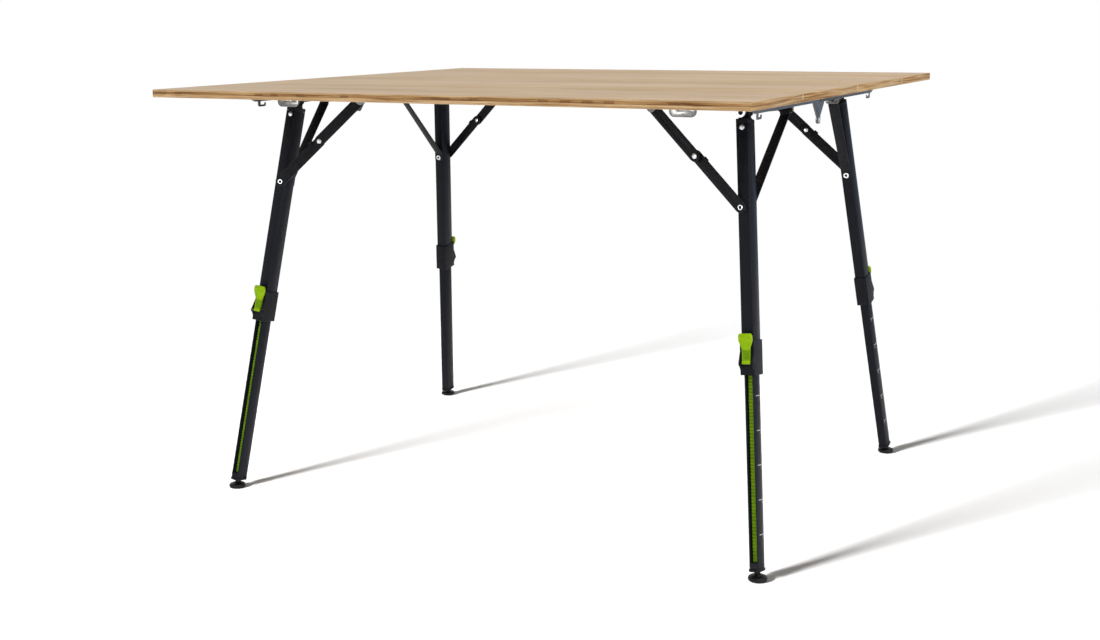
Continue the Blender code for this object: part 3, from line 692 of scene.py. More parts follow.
STRIP_WIDTH = 0.0195
SEAM_START = 0.487
SHIFT_SEED = 57.3
SHIFT_REACH = 7.0
KNUCKLE_PITCH = 0.31
KNUCKLE_WIDTH = 0.0030
TOP_PLY = 0.0029
CORE_END = 0.0078
PLY_BLEND = 0.0008
PLY_WANDER = 0.0022
FACE_SKIN = 0.0005
END_SKIN = 0.0016
END_CORE_STARTS = (0.0012, 0.0022)
END_CORE_ENDS = (0.0040, 0.0058)
DASH_LENGTH = 0.019
DASH_WANDER = 0.030
DASH_SHARE = 0.72
FOLD_PLUG = (0.00192, 0.0032)
FOLD_PLUG_ENDS = (0.0090, 0.0110)
DUST_ENDS = (0.0005, 0.009)


def bamboo():
    """Laminated bamboo: long strips with knuckles, and at the edge a brown core between two pale plies."""
    look = Look("bamboo")
    place = look.place()
    x, y, z = look.axes(place)
    strip = math.floor(y / STRIP_WIDTH)
    tone = look.chance(strip)
    shift = look.chance(strip + SHIFT_SEED)
    seam = abs(y / STRIP_WIDTH % 1.0 - 0.5).between(SEAM_START, 0.5)
    fibre = look.noise(place, (5, 820, 820), detail=5.0, roughness=0.62)
    streak = look.noise(place, (1.4, 130, 130))
    cloud = look.noise(place, (4.5, 9, 9))
    along = x / KNUCKLE_PITCH + shift * SHIFT_REACH
    from_knuckle = abs(along % 1.0 - 0.5) * KNUCKLE_PITCH
    knuckle = 1.0 - from_knuckle.between(0.0, KNUCKLE_WIDTH)
    face = look.ramp(
        tone * 0.16 + fibre * 0.26 + streak * 0.40 + cloud * 0.34,
        (0.36, (156, 126, 87)),
        (0.50, (184, 155, 117)),
        (0.64, (196, 168, 132)),
        (0.78, (211, 187, 154)),
    )
    marks = (knuckle * 0.34 + seam * 0.22).between(0.0, 1.0)
    face = look.mix(marks, face, solid(140, 106, 68))

    depth = TOP - z
    grain = look.noise(place, (22, 300, 700), detail=4.0, roughness=0.6)
    long_streak = look.noise(place, (9, 9, 420), detail=2.0)
    lift = look.noise(place, (7, 7, 60), detail=2.0)
    level = depth + (lift - 0.5) * PLY_WANDER
    in_core = level.between(TOP_PLY - PLY_BLEND, TOP_PLY + PLY_BLEND)
    in_core = in_core * (1.0 - level.between(CORE_END - PLY_BLEND, CORE_END + PLY_BLEND))
    core = look.ramp(
        long_streak * 0.72 + grain * 0.28,
        (0.37, (99, 63, 28)),
        (0.46, (137, 98, 55)),
        (0.57, (166, 126, 80)),
        (0.67, (199, 160, 114)),
    )
    run = (x + lift * DASH_WANDER) / DASH_LENGTH
    dark = look.chance(math.floor(run)) > DASH_SHARE
    dash = dark * (grain * 0.6 + long_streak * 0.4).between(0.30, 0.55)
    core = look.mix(dash * 0.55, core, solid(88, 54, 24))
    ply = look.ramp(
        grain * 0.40 + long_streak * 0.60,
        (0.36, (150, 109, 64)),
        (0.50, (192, 156, 111)),
        (0.65, (221, 188, 146)),
    )
    long_edge = look.mix(in_core, ply, core)

    cells = look.noise(place, (400, 520, 520), roughness=0.7)
    bundle = look.noise(place, (1, 9, 420))
    end_core = depth.between(*END_CORE_STARTS) * (1.0 - depth.between(*END_CORE_ENDS))
    end_grain = look.ramp(
        cells * 0.14 + bundle * 0.86 - end_core * 0.05,
        (0.36, (132, 92, 48)),
        (0.50, (174, 137, 90)),
        (0.64, (204, 172, 126)),
    )
    off_middle = abs(y)
    from_fold = off_middle.math("MINIMUM", off_middle, abs(off_middle - LEAF_FOLD))
    plug = (1.0 - from_fold.between(*FOLD_PLUG)) * (1.0 - depth.between(*FOLD_PLUG_ENDS))
    end_grain = look.mix(plug * 0.7, end_grain, solid(216, 194, 160))
    at_end = abs(x) > HALF_LENGTH - END_SKIN
    edge = look.mix(at_end, long_edge, end_grain)
    on_edge = (z > UNDERSIDE + FACE_SKIN) * (z < TOP - FACE_SKIN)
    relief = fibre * 0.6 - knuckle * 0.5 - seam * 0.9
    return look.surface(
        Base_Color=look.mix(on_edge, face, edge),
        Roughness=0.42 + fibre * 0.16 + on_edge * 0.12,
        Specular_IOR_Level=0.20,
        Normal=look.bump(relief, strength=0.30, distance=0.00025),
    )


def charcoal_coat():
    """Charcoal coat on the drawn leg tubes: orange peel over draw lines, with streaks, and rubbed edges
    painted lighter, partly as wear and partly as a highlight.
    """
    look = Look("charcoal_coat")
    leg = look.own("leg_place")
    draw = look.noise(leg, (900, 900, 3), roughness=0.6)
    peel = look.noise(leg, 1500.0, detail=2.0)
    cloud = look.noise(leg, 22.0)
    rub = look.noise(leg, (420, 420, 7), detail=4.0, roughness=0.7).between(0.66, 0.80)
    base = look.shades(cloud * 0.5 + draw * 0.5, (14, 16, 22), (23, 26, 34), 0.25, 0.75)
    base = look.mix(rub * 0.25, base, solid(48, 51, 58))
    # Edges painted lighter: partly wear, partly a painted highlight.
    rubbed_and_highlit = look.worn() * peel.between(0.40, 0.62)
    return look.surface(
        Base_Color=look.mix(rubbed_and_highlit * 0.45, base, solid(62, 66, 76)),
        Roughness=0.34 + peel * 0.10 + cloud * 0.10,
        Specular_IOR_Level=0.11,
        Normal=look.bump(peel + draw * 0.8, strength=0.12, distance=0.0002),
    )


def grey_steel():
    """Galvanised sheet, dulled to a warm grey, with small crystal grains, and edges painted brighter, partly
    as rubbing and partly as a highlight.
    """
    look = Look("grey_steel")
    place = look.place()
    sockets = {"Vector": look.stretched(place, (170, 120, 170)), "Scale": 1.0}
    grain = look.node("ShaderNodeTexVoronoi", sockets=sockets, output="Color")
    crystal = look.axes(grain)[0]
    cloud = look.noise(place, 14.0, detail=4.0)
    roll = look.noise(place, (600, 9, 600))
    mottle = crystal * 0.35 + cloud * 0.45 + roll * 0.2
    base = look.shades(mottle, (78, 77, 76), (110, 109, 107), 0.2, 0.8)
    # Edges painted brighter: partly rubbing, partly a painted highlight.
    return look.surface(
        Base_Color=look.mix(look.worn() * 0.5, base, solid(142, 141, 139)),
        Metallic=0.75,
        Roughness=0.26 + crystal * 0.06 + cloud * 0.08,
        Normal=look.bump(roll + cloud * 0.5, strength=0.08, distance=0.0002),
    )


def zinc():
    """Bright zinc plating with faint rolling marks and a cloudy haze."""
    look = Look("zinc")
    place = look.place()
    haze = look.noise(place, 60.0, detail=4.0)
    fine = look.noise(place, (240, 900, 900))
    return look.surface(
        Base_Color=look.shades(haze * 0.6 + fine * 0.4, (178, 180, 183), (222, 224, 226), 0.25, 0.75),
        Metallic=0.92,
        Roughness=0.22 + haze * 0.16 + fine * 0.08,
        Normal=look.bump(fine, strength=0.06, distance=0.0001),
    )


def black_steel():
    """Black dip coat on flat steel strip: satin, slightly blue, with soft ripples, and rubbed edges painted
    lighter, partly as wear and partly as a highlight.
    """
    look = Look("black_steel")
    place = look.place()
    ripple = look.noise(place, 90.0)
    fine = look.noise(place, 900.0, detail=2.0)
    nick = look.noise(place, 260.0, detail=5.0, roughness=0.75).between(0.70, 0.78)
    base = look.shades(ripple, (17, 18, 22), (27, 28, 33))
    base = look.mix(nick * 0.35, base, solid(52, 52, 54))
    # Edges painted lighter: partly wear, partly a painted highlight.
    rubbed_and_highlit = look.worn() * fine.between(0.42, 0.60)
    return look.surface(
        Base_Color=look.mix(rubbed_and_highlit * 0.7, base, solid(88, 88, 90)),
        Roughness=0.30 + ripple * 0.12 + fine * 0.08,
        Specular_IOR_Level=0.12,
        Normal=look.bump(ripple + fine * 0.3, strength=0.10, distance=0.0003),
    )


def dark_plastic():
    """Black moulded plastic with a fine spark-eroded texture, and polished edges painted lighter, partly as
    wear and partly as a highlight.
    """
    look = Look("dark_plastic")
    place = look.place()
    worn = look.worn()
    spark = look.noise(place, 1300.0, roughness=0.7)
    base = look.shades(look.noise(place, 40.0), (13, 14, 18), (22, 24, 30))
    # Edges painted lighter: partly wear, partly a painted highlight.
    return look.surface(
        Base_Color=look.mix(worn * 0.30, base, solid(62, 62, 66)),
        Roughness=0.46 + spark * 0.16 - worn * 0.14,
        Specular_IOR_Level=0.14,
        Normal=look.bump(spark, strength=0.22, distance=0.0002),
    )


def lime_plastic():
    """Satin lime green moulding, paler along its edges as wear and a painted highlight, with painted shade
    darkening the sunk panel of the stem.
    """
    look = Look("lime_plastic")
    place = look.place()
    height = look.axes(look.own("leg_place"))[2] - LEVER_HEIGHT
    spark = look.noise(place, 1600.0, detail=2.0)
    base = look.shades(look.noise(place, 70.0), (134, 174, 4), (152, 192, 12))
    # Painted shade: the stem is darker from its lip up to its flare, where its panel is sunk.
    stem = height.between(LEVER_LIP_TOP - SINK, LEVER_LIP_TOP + SINK)
    stem = stem * (1.0 - height.between(LEVER_CREASE, LEVER_FLARE))
    base = look.mix(stem * 0.80, base, solid(90, 134, 0))
    # Edges paler: partly wear, partly a painted highlight.
    return look.surface(
        Base_Color=look.mix(look.worn() * 0.50, base, solid(172, 206, 36)),
        Roughness=0.40 + spark * 0.10,
        Specular_IOR_Level=0.10,
        Normal=look.bump(spark, strength=0.10, distance=0.0001),
    )


def green_plastic():
    """Green of the toothed racks, with patches of grease, and painted shade darkening the teeth's roots."""
    look = Look("green_plastic")
    leg = look.own("leg_place")
    depth = look.axes(leg)[1]
    spark = look.noise(leg, 1500.0, detail=2.0)
    grease = look.noise(leg, (90, 90, 14), detail=4.0).between(0.46, 0.76)
    # Painted shade: darker down at the roots between the teeth.
    root = 1.0 - depth.between(RACK_CREST - TOOTH_RISE, RACK_CREST - TOOTH_RISE * TOOTH_UNSHADED)
    base = look.shades(look.noise(leg, 55.0), (124, 170, 8), (146, 192, 16))
    base = look.mix(grease * 0.25, base, solid(80, 112, 10))
    return look.surface(
        Base_Color=look.mix(root * 0.28, base, solid(28, 40, 8)),
        Roughness=0.40 + spark * 0.12,
        Specular_IOR_Level=0.18,
        Normal=look.bump(spark, strength=0.10, distance=0.0001),
    )


def rubber():
    """Black foot rubber, smooth from the mould, greyed by dust low down."""
    look = Look("rubber")
    place = look.place()
    height = look.axes(place)[2]
    spark = look.noise(place, 1100.0, detail=2.0)
    patch = look.noise(place, 130.0, detail=4.0, roughness=0.6)
    dust = (1.0 - height.between(*DUST_ENDS)) * patch.between(0.42, 0.75)
    base = look.shades(patch, (9, 9, 10), (15, 15, 16))
    return look.surface(
        Base_Color=look.mix(dust * 0.3, base, solid(62, 60, 57)),
        Roughness=0.36 + spark * 0.14 + dust * 0.2,
        Specular_IOR_Level=0.18,
        Normal=look.bump(spark + patch * 0.4, strength=0.12, distance=0.0002),
    )


def white_print():
    """White printed marks, thin in places."""
    look = Look("white_print")
    thin = look.noise(look.place(), 700.0, roughness=0.7)
    return look.surface(
        Base_Color=look.shades(thin, (160, 161, 164), (222, 223, 224), 0.30, 0.55),
        Roughness=0.50 + thin * 0.1,
        Specular_IOR_Level=0.20,
    )


METALS = (grey_steel, zinc, black_steel)
PLASTICS = (dark_plastic, lime_plastic, green_plastic, rubber)
FINISHES = {make.__name__: make() for make in (bamboo, charcoal_coat, *METALS, *PLASTICS, white_print)}


def finish(obj, name):
    """Gives a piece one finish all over."""
    obj.data.materials.clear()
    obj.data.materials.append(FINISHES[name])


# Pieces that keep the solid's shape, with eased edges


def leg_place(obj, corner):
    """Keeps each point's place on its leg, so that one finish follows all four legs."""
    store = obj.data.attributes.new("leg_place", "FLOAT_VECTOR", "POINT")
    for vertex, row in zip(obj.data.vertices, store.data):
        row.vector = corner.on_leg(vertex.co)


def mark_edge_wear_and_highlight(obj, ease):
    """Marks the narrow faces that an edge's rounding left, where a finish rubs off first and where a
    highlight is painted.
    """
    points = obj.data.vertices
    store = obj.data.attributes.new("worn", "FLOAT", "FACE")
    for face, row in zip(obj.data.polygons, store.data):
        shortest = min((points[a].co - points[b].co).length for a, b in face.edge_keys)
        row.value = float(shortest < ease)


def ease_edges(obj, ease, angle=30):
    """Rounds the edges that turn by more than an angle in degrees."""
    take(obj)
    bevel = obj.modifiers.new("ease", "BEVEL")
    bevel.width = ease
    bevel.segments = EASE_STEPS
    bevel.limit_method = "ANGLE"
    bevel.angle_limit = math.radians(angle)
    bpy.ops.object.modifier_apply(modifier=bevel.name)
    mark_edge_wear_and_highlight(obj, ease)
    smooth(obj)


def eased(node, look, ease):
    """A copy of a solid with its sharp edges rounded, which stands for it."""
    obj = copied(NODES[node], Matrix(), f"{node}_eased")
    obj.parent = None
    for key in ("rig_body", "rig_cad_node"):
        del obj[key]
    edit(obj)
    mend()
    bpy.ops.mesh.dissolve_limited(angle_limit=FLAT_ANGLE)
    leave()
    if ease:
        ease_edges(obj, ease)
    else:
        smooth(obj)
    finish(obj, look)
    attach(obj, BODY_OF[node])
    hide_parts(node)
    return obj


# Finish, eased edge and section of the leg's solids, and finish of the pressed ones

LEG_SOLIDS = {
    "knuckle": ("dark_plastic", 0.0005, TUBE_WIDEN),
    "upper_tube": ("charcoal_coat", 0.0004, TUBE_WIDEN),
    "collar": ("dark_plastic", 0.0006, COLLAR_WIDEN),
    "lower_tube": ("charcoal_coat", 0.0003, SLIDER_WIDEN),
    "rack": ("green_plastic", 0.0002, RACK_WIDEN),
}
PRESSED_SOLIDS = {
    "rail": "grey_steel",
    "bracket": "grey_steel",
    "stay": "black_steel",
    "brace_lower": "black_steel",
    "brace_upper": "black_steel",
}


def widen(obj, corner, kind, steps):
    """Gives a piece of the leg the wider section that the photograph shows."""
    for vertex in obj.data.vertices:
        place = corner.on_leg(vertex.co)
        off_cap = kind == "knuckle" and (place.z > CAP_TOP or abs(place.y) > CAP_REACH)
        on_boss = kind == "upper_tube" and place.y > BOSS_START
        if not off_cap and not on_boss:
            place.x = widened(place.x, steps)
            place.y *= LEG_DEEPEN
            vertex.co = corner.leg @ place
    obj.data.update()


def leaves():
    """The two drop leaves, with small corners at their free edge."""
    for word in ("front", "back"):
        low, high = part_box(f"leaf_{word}")
        free = low.y if abs(low.y) > abs(high.y) else high.y
        obj = block(f"leaf_{word}_cornered", low, high)
        round_corners(obj, LEAF_CORNER, lambda edge: upright(edge) and abs(edge.verts[0].co.y - free) < SINK)
        ease_edges(obj, LEAF_EASE, angle=40)
        finish(obj, "bamboo")
        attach(obj, BODY_OF[f"leaf_{word}"])
        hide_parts(f"leaf_{word}")


def dress_solids():
    for board in ("board_front", "board_back"):
        eased(board, "bamboo", 0.0)
    leaves()
    for corner in TABLE_CORNERS:
        for kind, (look, ease, steps) in LEG_SOLIDS.items():
            piece = eased(f"{kind}_{corner.tag}", look, ease)
            widen(piece, corner, kind, steps)
            leg_place(piece, corner)
        for kind, look in PRESSED_SOLIDS.items():
            eased(f"{kind}_{corner.tag}", look, PRESSED_EASE)


# Pieces modelled at one corner and mirrored to the others


def mirrored(model, place, name, look, body, node=None):
    """Copies a model to the four corners, each on its own body and in place of its own node."""
    for corner in TABLE_CORNERS:
        piece = copied(model, corner.mirror @ place, f"{name}_{corner.tag}")
        finish(piece, look)
        leg_place(piece, corner)
        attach(piece, body(corner))
        if node:
            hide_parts(f"{node}_{corner.tag}")
    bpy.data.objects.remove(model)


def on(kind):
    """Names each corner's own body of a kind."""
    return lambda corner: f"{kind}_{corner.tag}"


def on_half(corner):
    return corner.half


# Clamp levers


def levers():
    """A flared lever with a sunk panel in its stem, a lip at its foot and a hollow in its head."""
    half = LEVER_THICKNESS / 2
    stem = LEVER_STEM / 2
    model = block("lever_model", (-stem, -half, -LEVER_FOOT), (stem, half, LEVER_LIP_TOP))
    edit(model, "FACE")
    pick(model, lambda face: face.normal.z > SQUARE_ON)
    for (z, width, lean), (next_z, next_width, next_lean) in zip(LEVER_STATIONS, LEVER_STATIONS[1:]):
        extrude((0, LEVER_LEAN * (next_lean - lean), next_z - z))
        bpy.ops.transform.resize(value=(next_width / width, 1, 1))
    pick(model, front(LEVER_LIP_TOP, LEVER_CREASE))
    bpy.ops.mesh.inset(thickness=LEVER_RIM)
    extrude((0, -LEVER_SINK, 0))
    pick(model, front(LEVER_WIDEST, LEVER_TOP - LEVER_ROUND))
    bpy.ops.mesh.inset(thickness=LEVER_HEAD_RIM)
    extrude((0, -LEVER_HEAD_SINK, 0))
    pick(model, front(-LEVER_FOOT, LEVER_LIP_TOP))
    extrude((0, LEVER_LIP_RISE, 0))
    mend()
    leave()
    ease_edges(model, LEVER_EDGE, angle=25)
    mirrored(model, PATTERN.grip, "lever_moulded", "lime_plastic", on("clamp_lever"), "lever")


def lever_pins():
    """The cross pin that a lever turns on, with a shallow head at each end."""
    reach = LEVER_PIN_REACH
    profile = [(0.0, -reach), (LEVER_PIN_END, -reach), (LEVER_PIN, -reach + SINK)]
    profile += [(LEVER_PIN, reach - SINK), (LEVER_PIN_END, reach), (0.0, reach)]
    model = turned("lever_pin_model", profile)
    mirrored(model, PATTERN.grip @ FACING_X, "lever_pin", "black_steel", on("clamp_lever"))


# Feet


def feet():
    """A round pad with a waisted neck under the oblong flange that closes the sliding tube."""
    shoulder = bow((FOOT_RADIUS - FOOT_ROUND, FOOT_ROUND), FOOT_ROUND, -FOOT_BOW, FOOT_BOW)
    pad = turned("foot_model", [(0.0, 0.0), (FOOT_SOLE, 0.0), *shoulder, *FOOT_TOP])
    pad.data.transform(Matrix.Translation(PATTERN.foot))

    neck_low = PATTERN.on_leg(PATTERN.foot).z + NECK_START
    neck_profile = [(0.0, neck_low), (FOOT_NECK, neck_low), (FOOT_NECK, FLANGE_LOW - NECK_FLARE)]
    neck_profile += [(NECK_TOP, FLANGE_LOW + SINK), (0.0, FLANGE_LOW + SINK)]
    neck = turned("foot_neck", neck_profile)
    neck.data.transform(PATTERN.leg)

    flange = block("foot_flange", (-FLANGE_X, -FLANGE_Y, FLANGE_LOW), (FLANGE_X, FLANGE_Y, FLANGE_TOP))
    round_corners(flange, FLANGE_CORNER, upright)
    ease_edges(flange, FLANGE_EASE, angle=50)
    flange.data.transform(PATTERN.leg)

    model = joined("foot_model", [pad, neck, flange])
    mirrored(model, Matrix(), "foot_moulded", "rubber", on("slider"), "foot")


# Fasteners


def dome_profile(radius, rise, dimple):
    """Half of a domed head with a small dimple, from its seat up."""
    sphere = (rise**2 + radius**2) / (2 * rise)
    start = math.degrees(math.asin((sphere - rise) / sphere))
    crown = bow((0.0, rise - sphere), sphere, start, 90, 8)[:-1]
    kept = [point for point in crown if point[0] > dimple]
    bowl = [(dimple * wide, rise * high) for wide, high in BOWL]
    return [(0.0, -SINK), (radius, -SINK), *kept, *bowl]


def ring_profile(bore, radius, rise):
    """A washer's section with its upper corners eased."""
    ease = rise * RING_EASE
    outer = [(radius, -SINK), (radius, rise - ease), (radius - ease, rise)]
    return [(bore, -SINK), *outer, (bore + ease, rise), (bore, rise - ease)]


def leg_rivets():
    model = turned("leg_rivet_model", dome_profile(LEG_RIVET_RADIUS, LEG_RIVET_RISE, RIVET_DIMPLE))
    place = shifted(0, TUBE_FACE, TUBE_TOP - LEG_RIVET_DROP, FACING_Y)
    mirrored(model, PATTERN.leg @ place, "leg_rivet", "zinc", on("leg"))


def leg_pin_tails():
    """The rolled end of the hollow rivet through brace, leg and stay, on the stay's side."""
    model = turned("leg_pin_tail_model", ring_profile(TAIL_BORE, TAIL_RADIUS, TAIL_RISE), closed=True)
    place = shifted(0, STAY_SEAT, LEG_PIN_PLACE.z, FACING_Y.inverted())
    mirrored(model, PATTERN.leg @ place, "leg_pin_tail", "zinc", on("leg"))


def eyelets():
    """The flanged end of the same rivet on the brace's side."""
    start = least(EYELET_POINTS, "y")
    seat = start + STRIP
    profile = [(EYELET_BORE, start), (EYELET_BODY, start), (EYELET_BODY, seat), (EYELET_FLANGE, seat)]
    profile += bow((EYELET_FLANGE - EYELET_LIP, seat), EYELET_LIP, 10, 90, 4)
    profile += [(EYELET_BORE + EYELET_LIP, seat + EYELET_LIP)]
    profile += bow((EYELET_BORE + EYELET_LIP, seat), EYELET_LIP, 100, 170, 4)
    model = turned("eyelet_model", profile, closed=True)
    place = PATTERN.hinge @ shifted(LEG_PIN_HINGE.x, 0, LEG_PIN_HINGE.z, FACING_Y)
    mirrored(model, place, "eyelet_rolled", "zinc", on("leg"), "eyelet")


def brace_pins():
    """The domed pin where the two links meet."""
    low = least(BRACE_PIN_POINTS, "y")
    seat = UPPER_FACE + SEAT_GAP
    inner = UPPER_FACE - STRIP - SEAT_GAP
    crown = dome_profile(PIN_HEAD, PIN_RISE, RIVET_DIMPLE)[3:]
    profile = [(0.0, low), (PIN_FOOT - SINK, low), (PIN_FOOT, low + SINK), (PIN_FOOT, inner)]
    profile += [(PIN_BODY, inner), (PIN_BODY, seat), (PIN_HEAD, seat), (PIN_HEAD, seat + SINK)]
    profile += [(radius, seat + SINK + height) for radius, height in crown]
    model = turned("brace_pin_model", profile)
    place = PATTERN.hinge @ shifted(MIDDLE_PIN.x, 0, MIDDLE_PIN.z, FACING_Y)
    mirrored(model, place, "brace_pin_domed", "zinc", on("upper_link"), "brace_pin")


def brace_pin_tails():
    """The riveted end of the middle pin on the lower link's inner face."""
    model = turned("brace_pin_tail_model", dome_profile(PIN_TAIL, PIN_TAIL_RISE, PIN_TAIL_DIMPLE))
    place = shifted(0, LOWER_LINK_FACE - STRIP, 0, FACING_Y.inverted())
    mirrored(model, LINK_FRAME @ place, "brace_pin_tail", "zinc", on("lower_link"))


def shaft_washers():
    """A bright washer round the leg's shaft on the outer cheek."""
    model = turned("shaft_washer_model", ring_profile(WASHER_BORE, WASHER_RADIUS, WASHER_RISE), closed=True)
    place = shifted(0, CHEEK_FACE, 0, FACING_Y)
    mirrored(model, PATTERN.hinge @ place, "shaft_washer", "zinc", on_half)


def stop_lugs():
    """A tab turned out from the lower link's upper edge, beside the middle pin."""
    low = (STOP_START, LOWER_LINK_FACE - STRIP, LINK_HALF + SINK)
    model = block("stop_lug_model", low, (STOP_END, LOWER_LINK_FACE, LINK_HALF + STOP_REACH))
    edit(model, "FACE")
    pick(model, lambda face: face.normal.z < -SQUARE_ON)
    extrude((0, 0, -STOP_REACH))
    pick(model, front(LINK_HALF, LINK_HALF + STOP_REACH))
    extrude((0, UPPER_FACE - LOWER_LINK_FACE, 0))
    mend()
    leave()
    ease_edges(model, STOP_EASE)
    mirrored(model, LINK_FRAME, "stop_lug", "black_steel", on("lower_link"))


def fold_pin_caps():
    """A domed cap on each outer end of the centre fold's pins."""
    model = turned("fold_pin_cap_model", dome_profile(CAP_RADIUS, CAP_RISE, CAP_DIMPLE))
    place = shifted(RAIL_FACE, 0, FOLD_HEIGHT, FACING_X)
    for word, side in (("right", 1), ("left", -1)):
        piece = copied(model, Matrix.Diagonal((side, 1, 1, 1)) @ place, f"fold_pin_cap_{word}")
        finish(piece, "zinc")
        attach(piece, BODY_OF["rail_fr"])
    bpy.data.objects.remove(model)


def rail_screws():
    """Pan-head screws that hold each half-rail and bracket under its board."""
    profile = dome_profile(SCREW_RADIUS, SCREW_RISE, SCREW_DIMPLE)
    for i, (x, y) in enumerate(RAIL_SCREWS, 1):
        model = turned("rail_screw_model", profile)
        place = shifted(x, y, SHEET_FACE, FACING_DOWN)
        mirrored(model, place, f"rail_screw_{i}", "zinc", on_half)
    for i, (x, y) in enumerate(bracket_screw_places(), 1):
        model = turned("bracket_screw_model", profile)
        place = PATTERN.hinge @ shifted(x, y, SHEET_FACE - PATTERN.pivot.z, FACING_DOWN)
        mirrored(model, place, f"bracket_screw_{i}", "zinc", on_half)


def bracket_screw_places():
    """One screw near each end of a bracket's flange."""
    points = PATTERN.hinge_points("bracket")
    y = least(points, "y") + BRACKET_SCREW_IN
    return [(least(points, "x") + BRACKET_SCREW_IN, y), (most(points, "x") - BRACKET_SCREW_IN, y)]


# Height marks


def height_marks():
    """A line and its number for each height, printed on the outer side of every sliding tube."""
    for corner in TABLE_CORNERS:
        parts = []
        for i in range(MARK_COUNT):
            at = COLLAR_BOTTOM - MARK_START - i * MARK_PITCH
            parts.append(mark_line(corner, at, -1, MARK_INNER))
            parts.append(mark_line(corner, at, 1, MARK_OUTER))
            parts.append(mark_number(corner, at - NUMBER_DROP, str(i + 1)))
        piece = joined(f"height_marks_{corner.tag}", parts)
        finish(piece, "white_print")
        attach(piece, f"slider_{corner.tag}")


def slope_frame(corner, half):
    """One half of the sliding tube's outer side: its ridge, and the directions across it and out of it."""
    ridge = Vector((LOWER_SIDE, 0.0, 0.0))
    edge = Vector((LOWER_EDGE, half * LOWER_FACE * MARK_SLOPE, 0.0))
    across = corner.leg.to_3x3() @ (edge - ridge).normalized()
    normal = across.cross(corner.up)
    normal *= math.copysign(1, normal.dot(corner.side))
    return corner.leg @ ridge, across, normal


def mark_line(corner, at, half, share):
    root, across, normal = slope_frame(corner, half)
    length = LOWER_FACE * share
    place = root + across * length / 2 + corner.up * at + normal * MARK_RAISE
    obj = plane("mark_line", 1.0)
    obj.data.transform(framed(across * length, corner.up * MARK_LINE, normal, place))
    edit(obj, "FACE")
    select_all()
    extrude(-normal * MARK_RAISE * 2)
    mend()
    leave()
    return obj


def mark_number(corner, at, text):
    root, across, normal = slope_frame(corner, -1)
    bpy.ops.object.text_add()
    words = bpy.context.object.data
    words.body = text
    words.size = NUMBER_SIZE
    words.extrude = MARK_RAISE
    words.align_x = "CENTER"
    bpy.ops.object.convert(target="MESH")
    obj = started("mark_number")
    place = root + across * LOWER_FACE * NUMBER_IN + corner.up * at
    obj.data.transform(framed(corner.up.cross(normal), corner.up, normal, place))
    return obj


# Floor, light and camera


FLOOR_SIZE = 60.0
FLOOR_TONE = (0.50, 0.50, 0.50, 1.0)
FLOOR_BOUNCE = (0.34, 0.34, 0.34, 1.0)
SKY_LEVEL = 0.50
PAPER_NEAR = 1.35
PAPER_FAR = 2.30
FLOOR_LAMP_PLACE = Vector((-2.05, -4.85, 2.05))
FLOOR_LAMP_RADIUS = 0.54
FLOOR_LAMP_POWER = 222.0
FRONT_LAMP_PLACE = Vector((-1.50, -5.00, 0.50))
FRONT_LAMP_RADIUS = 0.25
FRONT_LAMP_POWER = 24.0
FILL_FROM = Vector((0.66, -0.38, 0.65))
FILL_DISTANCE = 5.0
FILL_STRENGTH = 1.9
FILL_SOFTNESS = 70.0
AIM = Vector((0.0, 0.0, 0.55))
WHITE = (1.0, 1.0, 1.0, 1.0)
CARD_PLACE = Vector((1.7, 3.0, 1.0))
CARD_WIDTH = 3.6
CARD_HEIGHT = 2.6
CARD_SHADE = (0.40, 0.48, 0.62, 1.0)


def staged(obj, look, shader):
    """Gives a studio surface its own shader and puts it on the stage."""
    look.tree.nodes.remove(look.shader)
    look.feed(look.tree.nodes["Material Output"].inputs["Surface"], shader)
    obj.data.materials.append(look.material)
    obj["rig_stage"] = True
    return obj


def floor():
    """Pale paper that takes the legs' shadows and is plain white farther out."""
    look = Look("studio_floor")
    bounce = look.node("ShaderNodeBsdfDiffuse", sockets={"Color": FLOOR_BOUNCE})
    paper = look.node("ShaderNodeBsdfDiffuse", sockets={"Color": FLOOR_TONE})
    glow = look.node("ShaderNodeEmission", sockets={"Color": WHITE, "Strength": 1.0})
    distance = look.node("ShaderNodeVectorMath", {"operation": "LENGTH"}, {0: look.place()}, output="Value")
    fades = distance.between(PAPER_NEAR, PAPER_FAR)
    sheet = look.node("ShaderNodeMixShader", sockets={"Fac": fades, 1: paper, 2: glow})
    mixed = look.node("ShaderNodeMixShader", sockets={"Fac": look.seen(), 1: bounce, 2: sheet})
    return staged(plane("studio_floor", FLOOR_SIZE), look, mixed)


def side_card():
    """A blue-grey card at the back right, which only mirroring surfaces show."""
    obj = plane("studio_card", 1.0)
    toward = AIM - CARD_PLACE
    facing = Vector((toward.x, toward.y, 0.0)).normalized()
    across = UP.cross(facing)
    obj.data.transform(framed(across * CARD_WIDTH, UP * CARD_HEIGHT, facing, CARD_PLACE))
    for kind in ("camera", "diffuse", "transmission", "volume_scatter", "shadow"):
        setattr(obj, f"visible_{kind}", False)
    look = Look("studio_card")
    shade = look.node("ShaderNodeEmission", sockets={"Color": CARD_SHADE, "Strength": 1.0})
    staged(obj, look, shade)


def sky():
    world = bpy.data.worlds.new("studio")
    bpy.context.scene.world = world
    world.use_nodes = True
    nodes = Nodes(world.node_tree)
    plain = nodes.node("ShaderNodeBackground", sockets={"Color": WHITE, "Strength": SKY_LEVEL})
    shown = nodes.node("ShaderNodeBackground", sockets={"Color": WHITE, "Strength": 1.0})
    mixed = nodes.node("ShaderNodeMixShader", sockets={"Fac": nodes.seen(), 1: plain, 2: shown})
    nodes.feed(world.node_tree.nodes["World Output"].inputs["Surface"], mixed)


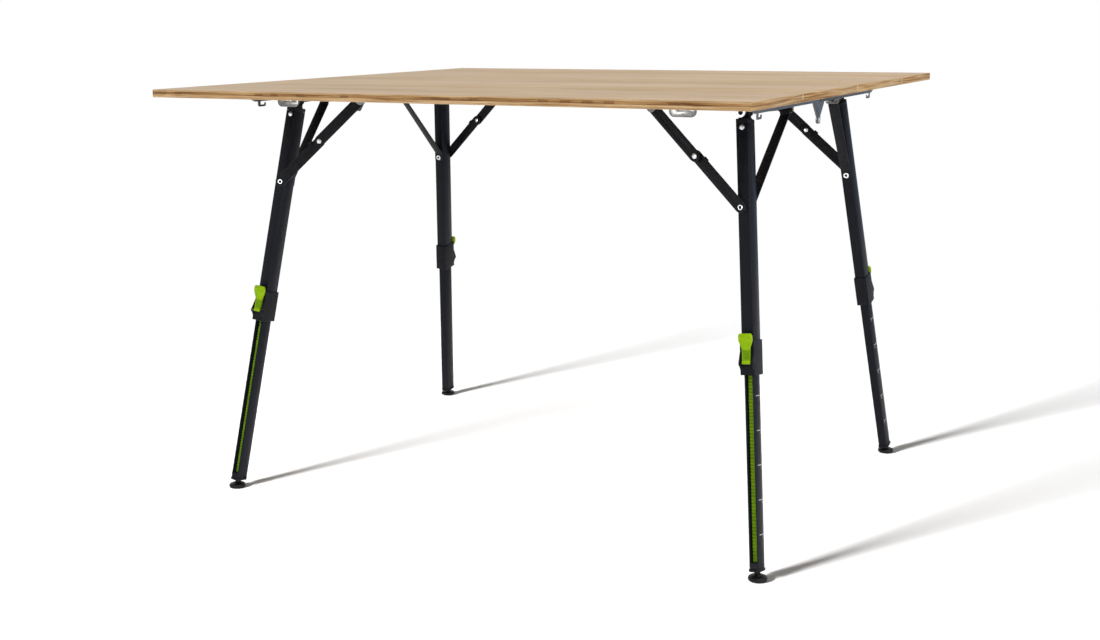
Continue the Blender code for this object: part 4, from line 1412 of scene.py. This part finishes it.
def lamp(name, kind, place, power, lit):
    """A lamp that lights only the objects it is given."""
    bpy.ops.object.light_add(type=kind, location=place)
    obj = bpy.context.object
    obj.name = name
    obj.rotation_euler = (AIM - place).to_track_quat("-Z", "Y").to_euler()
    obj.data.energy = power
    obj.light_linking.receiver_collection = linked(f"lit_by_{name}", lit)
    return obj


def linked(name, objects):
    """A collection of the objects that a lamp lights, or that throw its shadow."""
    group = bpy.data.collections.new(name)
    for obj in objects:
        group.objects.link(obj)
    return group


def even(obj, radius):
    """Keeps the light of a lamp of this radius the same however far it falls."""
    obj.data.shadow_soft_size = radius
    obj.data.use_nodes = True
    nodes = Nodes(obj.data.node_tree)
    strength = nodes.node("ShaderNodeLightFalloff", sockets={"Strength": 1.0}, output="Constant")
    nodes.feed(obj.data.node_tree.nodes["Emission"].inputs["Strength"], strength)


def light(ground):
    """A soft sky and fill, one lamp for the legs' shadows and one for the bright metal."""
    sky()
    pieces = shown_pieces()
    legs = [obj for obj in pieces if body_of(obj)[0].startswith("slider_")]
    bright = (FINISHES["grey_steel"], FINISHES["zinc"])
    metal = [obj for obj in pieces if obj.data.materials[0] in bright]
    low = lamp("floor_lamp", "POINT", FLOOR_LAMP_PLACE, FLOOR_LAMP_POWER, [ground])
    low.light_linking.blocker_collection = linked("shade_from_legs", legs)
    even(low, FLOOR_LAMP_RADIUS)
    near = lamp("front_lamp", "POINT", FRONT_LAMP_PLACE, FRONT_LAMP_POWER, metal)
    even(near, FRONT_LAMP_RADIUS)
    fill = lamp("fill_light", "SUN", AIM + FILL_FROM * FILL_DISTANCE, FILL_STRENGTH, pieces)
    fill.data.angle = math.radians(FILL_SOFTNESS)


def camera():
    forward = Vector((
        -math.sin(CAMERA_YAW) * math.cos(CAMERA_PITCH),
        math.cos(CAMERA_YAW) * math.cos(CAMERA_PITCH),
        -math.sin(CAMERA_PITCH),
    ))
    level = Vector((math.cos(CAMERA_YAW), math.sin(CAMERA_YAW), 0.0))
    down = forward.cross(level)
    right = level * math.cos(CAMERA_ROLL) + down * math.sin(CAMERA_ROLL)
    up = level * math.sin(CAMERA_ROLL) - down * math.cos(CAMERA_ROLL)
    bpy.ops.object.camera_add()
    obj = bpy.context.object
    obj.data.lens = LENS
    obj.data.sensor_width = SENSOR
    obj.data.clip_end = 2 * FLOOR_SIZE
    obj.matrix_world = framed(right, up, -forward, CAMERA_PLACE)
    scene = bpy.context.scene
    scene.camera = obj
    scene.view_settings.view_transform = "Standard"


camera()
dress_solids()
levers()
lever_pins()
feet()
leg_rivets()
leg_pin_tails()
eyelets()
brace_pins()
brace_pin_tails()
shaft_washers()
stop_lugs()
fold_pin_caps()
rail_screws()
height_marks()
light(floor())
side_card()
